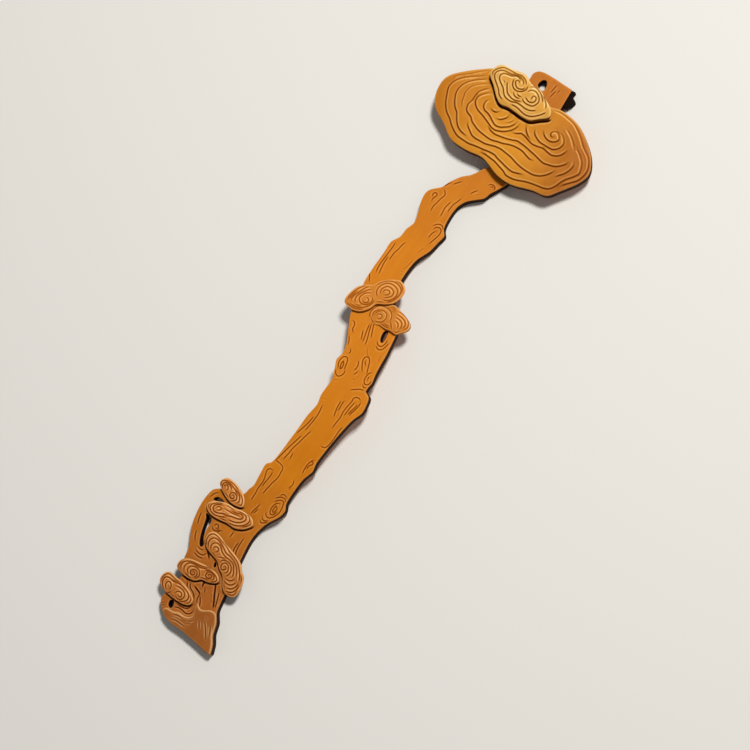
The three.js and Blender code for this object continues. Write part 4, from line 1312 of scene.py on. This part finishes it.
# Collar and foot caps: swirls and fans of growth rings
capLines = {
    "collar_upper": [
        [(347, 300), (348.5, 297), (352, 293), (356, 290), (361, 287), (366, 285.5)],
        [(351, 301), (351.5, 298.5), (354, 295.5), (358, 292.5), (362, 290), (366, 287.5), (370, 286.5)],
        [(355, 302.5), (355, 299.5), (356.5, 296.5), (360, 293.5), (364, 291.5), (368, 290), (373, 289.5)],
        [(372, 293), (366, 293), (362, 295), (359.5, 297.5), (359.5, 301), (361.5, 303.5), (364.5, 304.5),
         (368, 304), (371, 302), (372.5, 299), (371.5, 296)],
        [(363, 299.5), (363, 301.5), (365, 302.5), (367.5, 302), (368.5, 300), (367.5, 298), (365, 297.5)],
        [(350, 303), (353, 305.5), (357, 307), (361, 307.5), (365, 307), (369, 305.5), (372.5, 303),
         (374.5, 299.5)],
        [(383, 293), (384, 290.5), (387, 290), (389.5, 291.5), (389, 294), (386, 295), (383.5, 294.5)],
        [(380.5, 294), (381, 290), (384, 287.5), (388, 286.5), (392, 289), (393.5, 292.5), (391.5, 296),
         (387, 297.5), (383, 297.5)],
        [(377.5, 297), (376.5, 292), (379, 287), (384, 284), (389.5, 283.5), (395, 286.5), (397.5, 291),
         (396, 296), (391.5, 299.5), (386.5, 300.5), (382, 299.5)],
        [(376, 285.5), (381, 282.5), (387, 281), (393, 281.5), (398.5, 285), (401, 289.5), (400, 294),
         (396, 298.5), (391, 301.5), (386, 302.5)],
    ],
    "collar_lower": [
        [(376, 316.5), (378, 314), (381, 314.5), (382, 316.5), (380, 318.5), (377, 318)],
        [(372.5, 317), (373.5, 312.5), (378, 310), (383, 310.5), (386.5, 314), (386, 318), (382.5, 321.5),
         (378, 322), (374, 320.5)],
        [(369.5, 319), (370.5, 312.5), (375, 307.5), (381, 306), (387, 308), (391, 312.5), (391.5, 317.5),
         (389, 322)],
        [(398, 311), (403, 314.5), (407, 319), (408.5, 323.5), (407, 328), (402.5, 330.5)],
        [(396, 314), (401, 317), (404.5, 321), (405, 325.5), (402, 329)],
        [(394.5, 317), (399, 319.5), (401.5, 323), (401, 327), (398.5, 330)],
        [(394, 320.5), (397, 322.5), (398, 325.5), (396.5, 329)],
        [(388, 322), (387, 330)],
        [(390.5, 321), (391.5, 330)],
    ],
    "fungus_1": [
        [(225.5, 487.5), (224.5, 485.5), (226.5, 485), (228, 487), (227.5, 489.5), (225.5, 490.5)],
        [(223, 489), (222.5, 485), (225, 482.5), (228.5, 484), (231, 487.5), (231, 491)],
        [(221, 487), (221, 483), (223, 480.5), (226, 480.5), (229.5, 483), (232.5, 486.5), (235.5, 490.5),
         (237.5, 495)],
        [(231, 496.5), (232.5, 495), (234, 496.5), (233, 498.5), (230.5, 498), (229.5, 495.5), (231, 493),
         (234, 493), (236.5, 496), (236, 499.5), (233, 501), (229.5, 500.5)],
        [(236, 489.5), (238.5, 493), (239.5, 498), (238.5, 502), (235.5, 503.5)],
    ],
    "fungus_2": [
        [(215.5, 508.5), (217, 507), (220, 507), (221.5, 508.5), (219.5, 510), (216.5, 510)],
        [(224, 506), (219, 504.5), (214.5, 505.5), (213, 508.5), (214.5, 511.5), (218, 513),
         (222.5, 513.5), (227, 515)],
        [(224, 504), (220, 503), (215.5, 503), (211.5, 504.5), (210, 508), (211.5, 512), (215, 515),
         (220, 516.5), (226, 517.5)],
        [(224, 515.5), (231, 516.5), (238, 519), (241.5, 519), (243, 517), (241, 514.5), (236, 513),
         (231, 510.5)],
        [(228, 519.5), (234, 522), (240, 522.5), (245, 520.5), (246, 517), (243, 513.5), (237, 511)],
        [(228, 522.5), (233, 525), (239, 526), (245, 525), (249, 522), (249.5, 518), (246.5, 514)],
    ],
    "fungus_3": [
        [(213.5, 550), (214, 547.5), (216.5, 547), (218.5, 549), (217.5, 551.5), (214.5, 552)],
        [(211, 550.5), (211, 546), (213, 543.5), (216.5, 543), (219.5, 545), (221, 548), (222, 552),
         (225, 556.5), (230, 560.5), (233, 564.5), (233.5, 569.5), (233, 575), (231, 578)],
        [(208.5, 547), (208.5, 542.5), (211, 539), (214.5, 538), (218, 540), (221, 543.5), (223.5, 548),
         (226, 553), (230.5, 557), (234, 561.5), (236, 566.5), (236.5, 572.5), (235.5, 578)],
        [(206.5, 546), (206.5, 540), (209, 535.5), (212.5, 534), (216, 535), (220, 539), (223.5, 543),
         (227, 547.5), (230, 552.5), (234.5, 558), (237.5, 563), (239, 569.5), (239.5, 576.5),
         (238.5, 582.5)],
        [(223.5, 567.5), (224.5, 566), (225.5, 567), (225.5, 569), (223, 570), (221, 569), (221, 566),
         (223, 563.5), (226, 563.5), (228, 566), (228, 569.5), (226.5, 572.5), (223.5, 573)],
        [(220, 562.5), (222, 560.5), (226, 561), (229.5, 563.5), (231, 567.5), (230.5, 572), (228, 575),
         (225, 576.5)],
        [(217, 557), (221, 557.5), (225, 559)],
        [(225, 578), (228.5, 580.5), (232, 580.5), (235, 578.5)],
        [(223.5, 580), (227, 584), (231.5, 585), (236, 582.5)],
        [(222, 582.5), (225.5, 587.5), (231, 589), (236, 586.5), (238.5, 582.5)],
        [(221, 586), (225, 591), (231, 592.5), (236.5, 589.5), (239, 585)],
    ],
    "fungus_4": [
        [(192, 573), (193, 571.5), (194.5, 572.5), (194, 574.5), (192, 575), (190.5, 573.5), (190.5, 571),
         (193, 569.5), (196, 570.5), (197, 573.5), (195.5, 576.5), (192, 577.5)],
        [(188, 573.5), (187.5, 569.5), (190, 566.5), (194, 566.5), (198, 569), (199.5, 573), (198, 577),
         (194, 579)],
        [(184, 571.5), (184, 567.5), (186.5, 564), (191, 563), (196, 565), (200, 567.5), (204, 568.5),
         (209, 569.5)],
        [(181, 569), (181, 565), (183.5, 562), (188, 561), (193, 562), (198, 564.5), (203, 566.5),
         (208, 567.5), (212, 570.5)],
        [(184.5, 572), (187.5, 575.5), (191, 578)],
        [(209, 576.5), (208, 575), (210, 574.5), (211.5, 576.5), (210, 578.5), (207, 578), (205.5, 575.5),
         (207.5, 572.5), (211, 572.5), (213.5, 575.5), (213.5, 579), (210.5, 580.5)],
        [(204, 571.5), (209, 570.5), (213, 573), (216, 577), (216.5, 580.5), (213.5, 582), (209, 582)],
    ],
    "fungus_5": [
        [(164, 589.5), (162.5, 585), (163, 580), (165.5, 577), (169, 577.5), (172.5, 580.5), (176, 583.5)],
        [(166.5, 589.5), (165.5, 586), (166.5, 582.5), (169, 581.5), (171, 584.5), (170.5, 588),
         (168.5, 590.5)],
        [(168.5, 585.5), (169, 588)],
        [(166, 592), (169, 592.5), (171.5, 590.5)],
        [(178, 595), (179, 597), (181, 596.5), (181.5, 594), (180, 592), (177, 591.5), (174.5, 593.5)],
        [(175.5, 596), (177, 598.5), (180.5, 599.5), (183.5, 597.5), (184.5, 594), (183, 590.5),
         (179.5, 587.5), (175, 585.5)],
        [(178, 601), (183, 601.5), (187, 600), (188.5, 596.5), (187.5, 592.5), (184.5, 588.5), (181, 585),
         (176, 582), (171, 579)],
    ],
}
capSet = {
    "spacing": 0.4 * mm,
    "outlineStep": 0.35 * mm,
    "rimRound": 0.45 * mm,
    "crown": 0.6 * mm,
    "margin": 4 * mm,
    "grooveWidth": 0.9 * mm,
    "grooveDepth": 0.45 * mm,
    "slantWidth": 1.5 * mm,
    "stepShare": 0.45,
    "lipWidth": 0.35 * mm,
    "fade": 2 * mm,
    "unevenness": 0.12 * mm,
    "rings": (1.2 * mm, 2.4 * mm, 3.6 * mm),
}
# the lower collar cap sinks into the shaft towards its left side
collarSlope = {"from": -3 * mm, "to": 13 * mm, "drop": 3.1 * mm}


# Lowest and highest level of a CAD node, with the arch taken off
def nodeLevels(node):
    levels = [vert.co.z - archLift(vert.co.x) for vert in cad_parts[node].data.vertices]
    return min(levels), max(levels)


coreSet = {**edgeSet, "outlineStep": 0.35 * mm}
firstSeed = 20.0
for place, (node, lines) in enumerate(capLines.items()):
    isCollar = node.startswith("collar")
    capFoot, capTop = nodeLevels(node + "_face")
    stem = node.replace("_upper", "Upper").replace("_lower", "Lower").replace("_", "")
    form = {**capSet, "seed": firstSeed + place}
    finish, slot = ("collar", "bamboo") if isCollar else ("foot", "warm_bamboo")
    if node == "collar_lower":
        form["slope"] = collarSlope
        addPlate(stem, node + "_face", capTop, faceTop, form, finish, weighted(lines),
                 alsoFor=[node + "_core"])
    else:
        addPlate(stem + "Face", node + "_face", capTop, capFoot, form, finish, weighted(lines))
        addPlate(stem + "Core", node + "_core", capFoot, faceTop, coreSet, "core")

# Inner wood that keeps its shape of the frame
for name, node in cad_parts.items():
    if not node.hide_render:
        # the kept cores show the nearly black core finish, painted shade in their holes
        finish = "core" if name.endswith("_core") else "dowel"
        node.material_slots[0].material = finishes[finish]
        print("kept:", name)


# Pale floor, the lamp and an even sky
stageSet = {
    "floorHalf": 3.0,
    "floorColour": srgb(232, 228, 220),
    "floorRough": 0.9,
    "skyColour": (1, 1, 1, 1),
    "skyStrength": 0.21,
}


def addStage():
    half = stageSet["floorHalf"]
    mesh = bpy.data.meshes.new("floor")
    corners = [(-half, -half, 0), (half, -half, 0), (half, half, 0), (-half, half, 0)]
    mesh.from_pydata(corners, [], [(0, 1, 2, 3)])
    floor = newObject("floor", mesh)
    material = bpy.data.materials.new("floor")
    material.use_nodes = True
    shader = material.node_tree.nodes["Principled BSDF"]
    shader.inputs["Base Color"].default_value = stageSet["floorColour"]
    shader.inputs["Roughness"].default_value = stageSet["floorRough"]
    mesh.materials.append(material)
    world = bpy.data.worlds.new("sky")
    world.use_nodes = True
    sky = world.node_tree.nodes["Background"]
    sky.inputs["Color"].default_value = stageSet["skyColour"]
    sky.inputs["Strength"].default_value = stageSet["skyStrength"]
    bpy.context.scene.world = world
    data = bpy.data.lights.new("lamp", "AREA")
    data.size = lampSet["size"]
    data.energy = lampSet["power"]
    lamp = newObject("lamp", data)
    lamp.location = cameraSet["target"] + lampSet["distance"] * lampDirection()
    lamp.rotation_euler = lampDirection().to_track_quat("Z", "Y").to_euler()


addStage()
bpy.context.scene.view_settings.view_transform = "Standard"
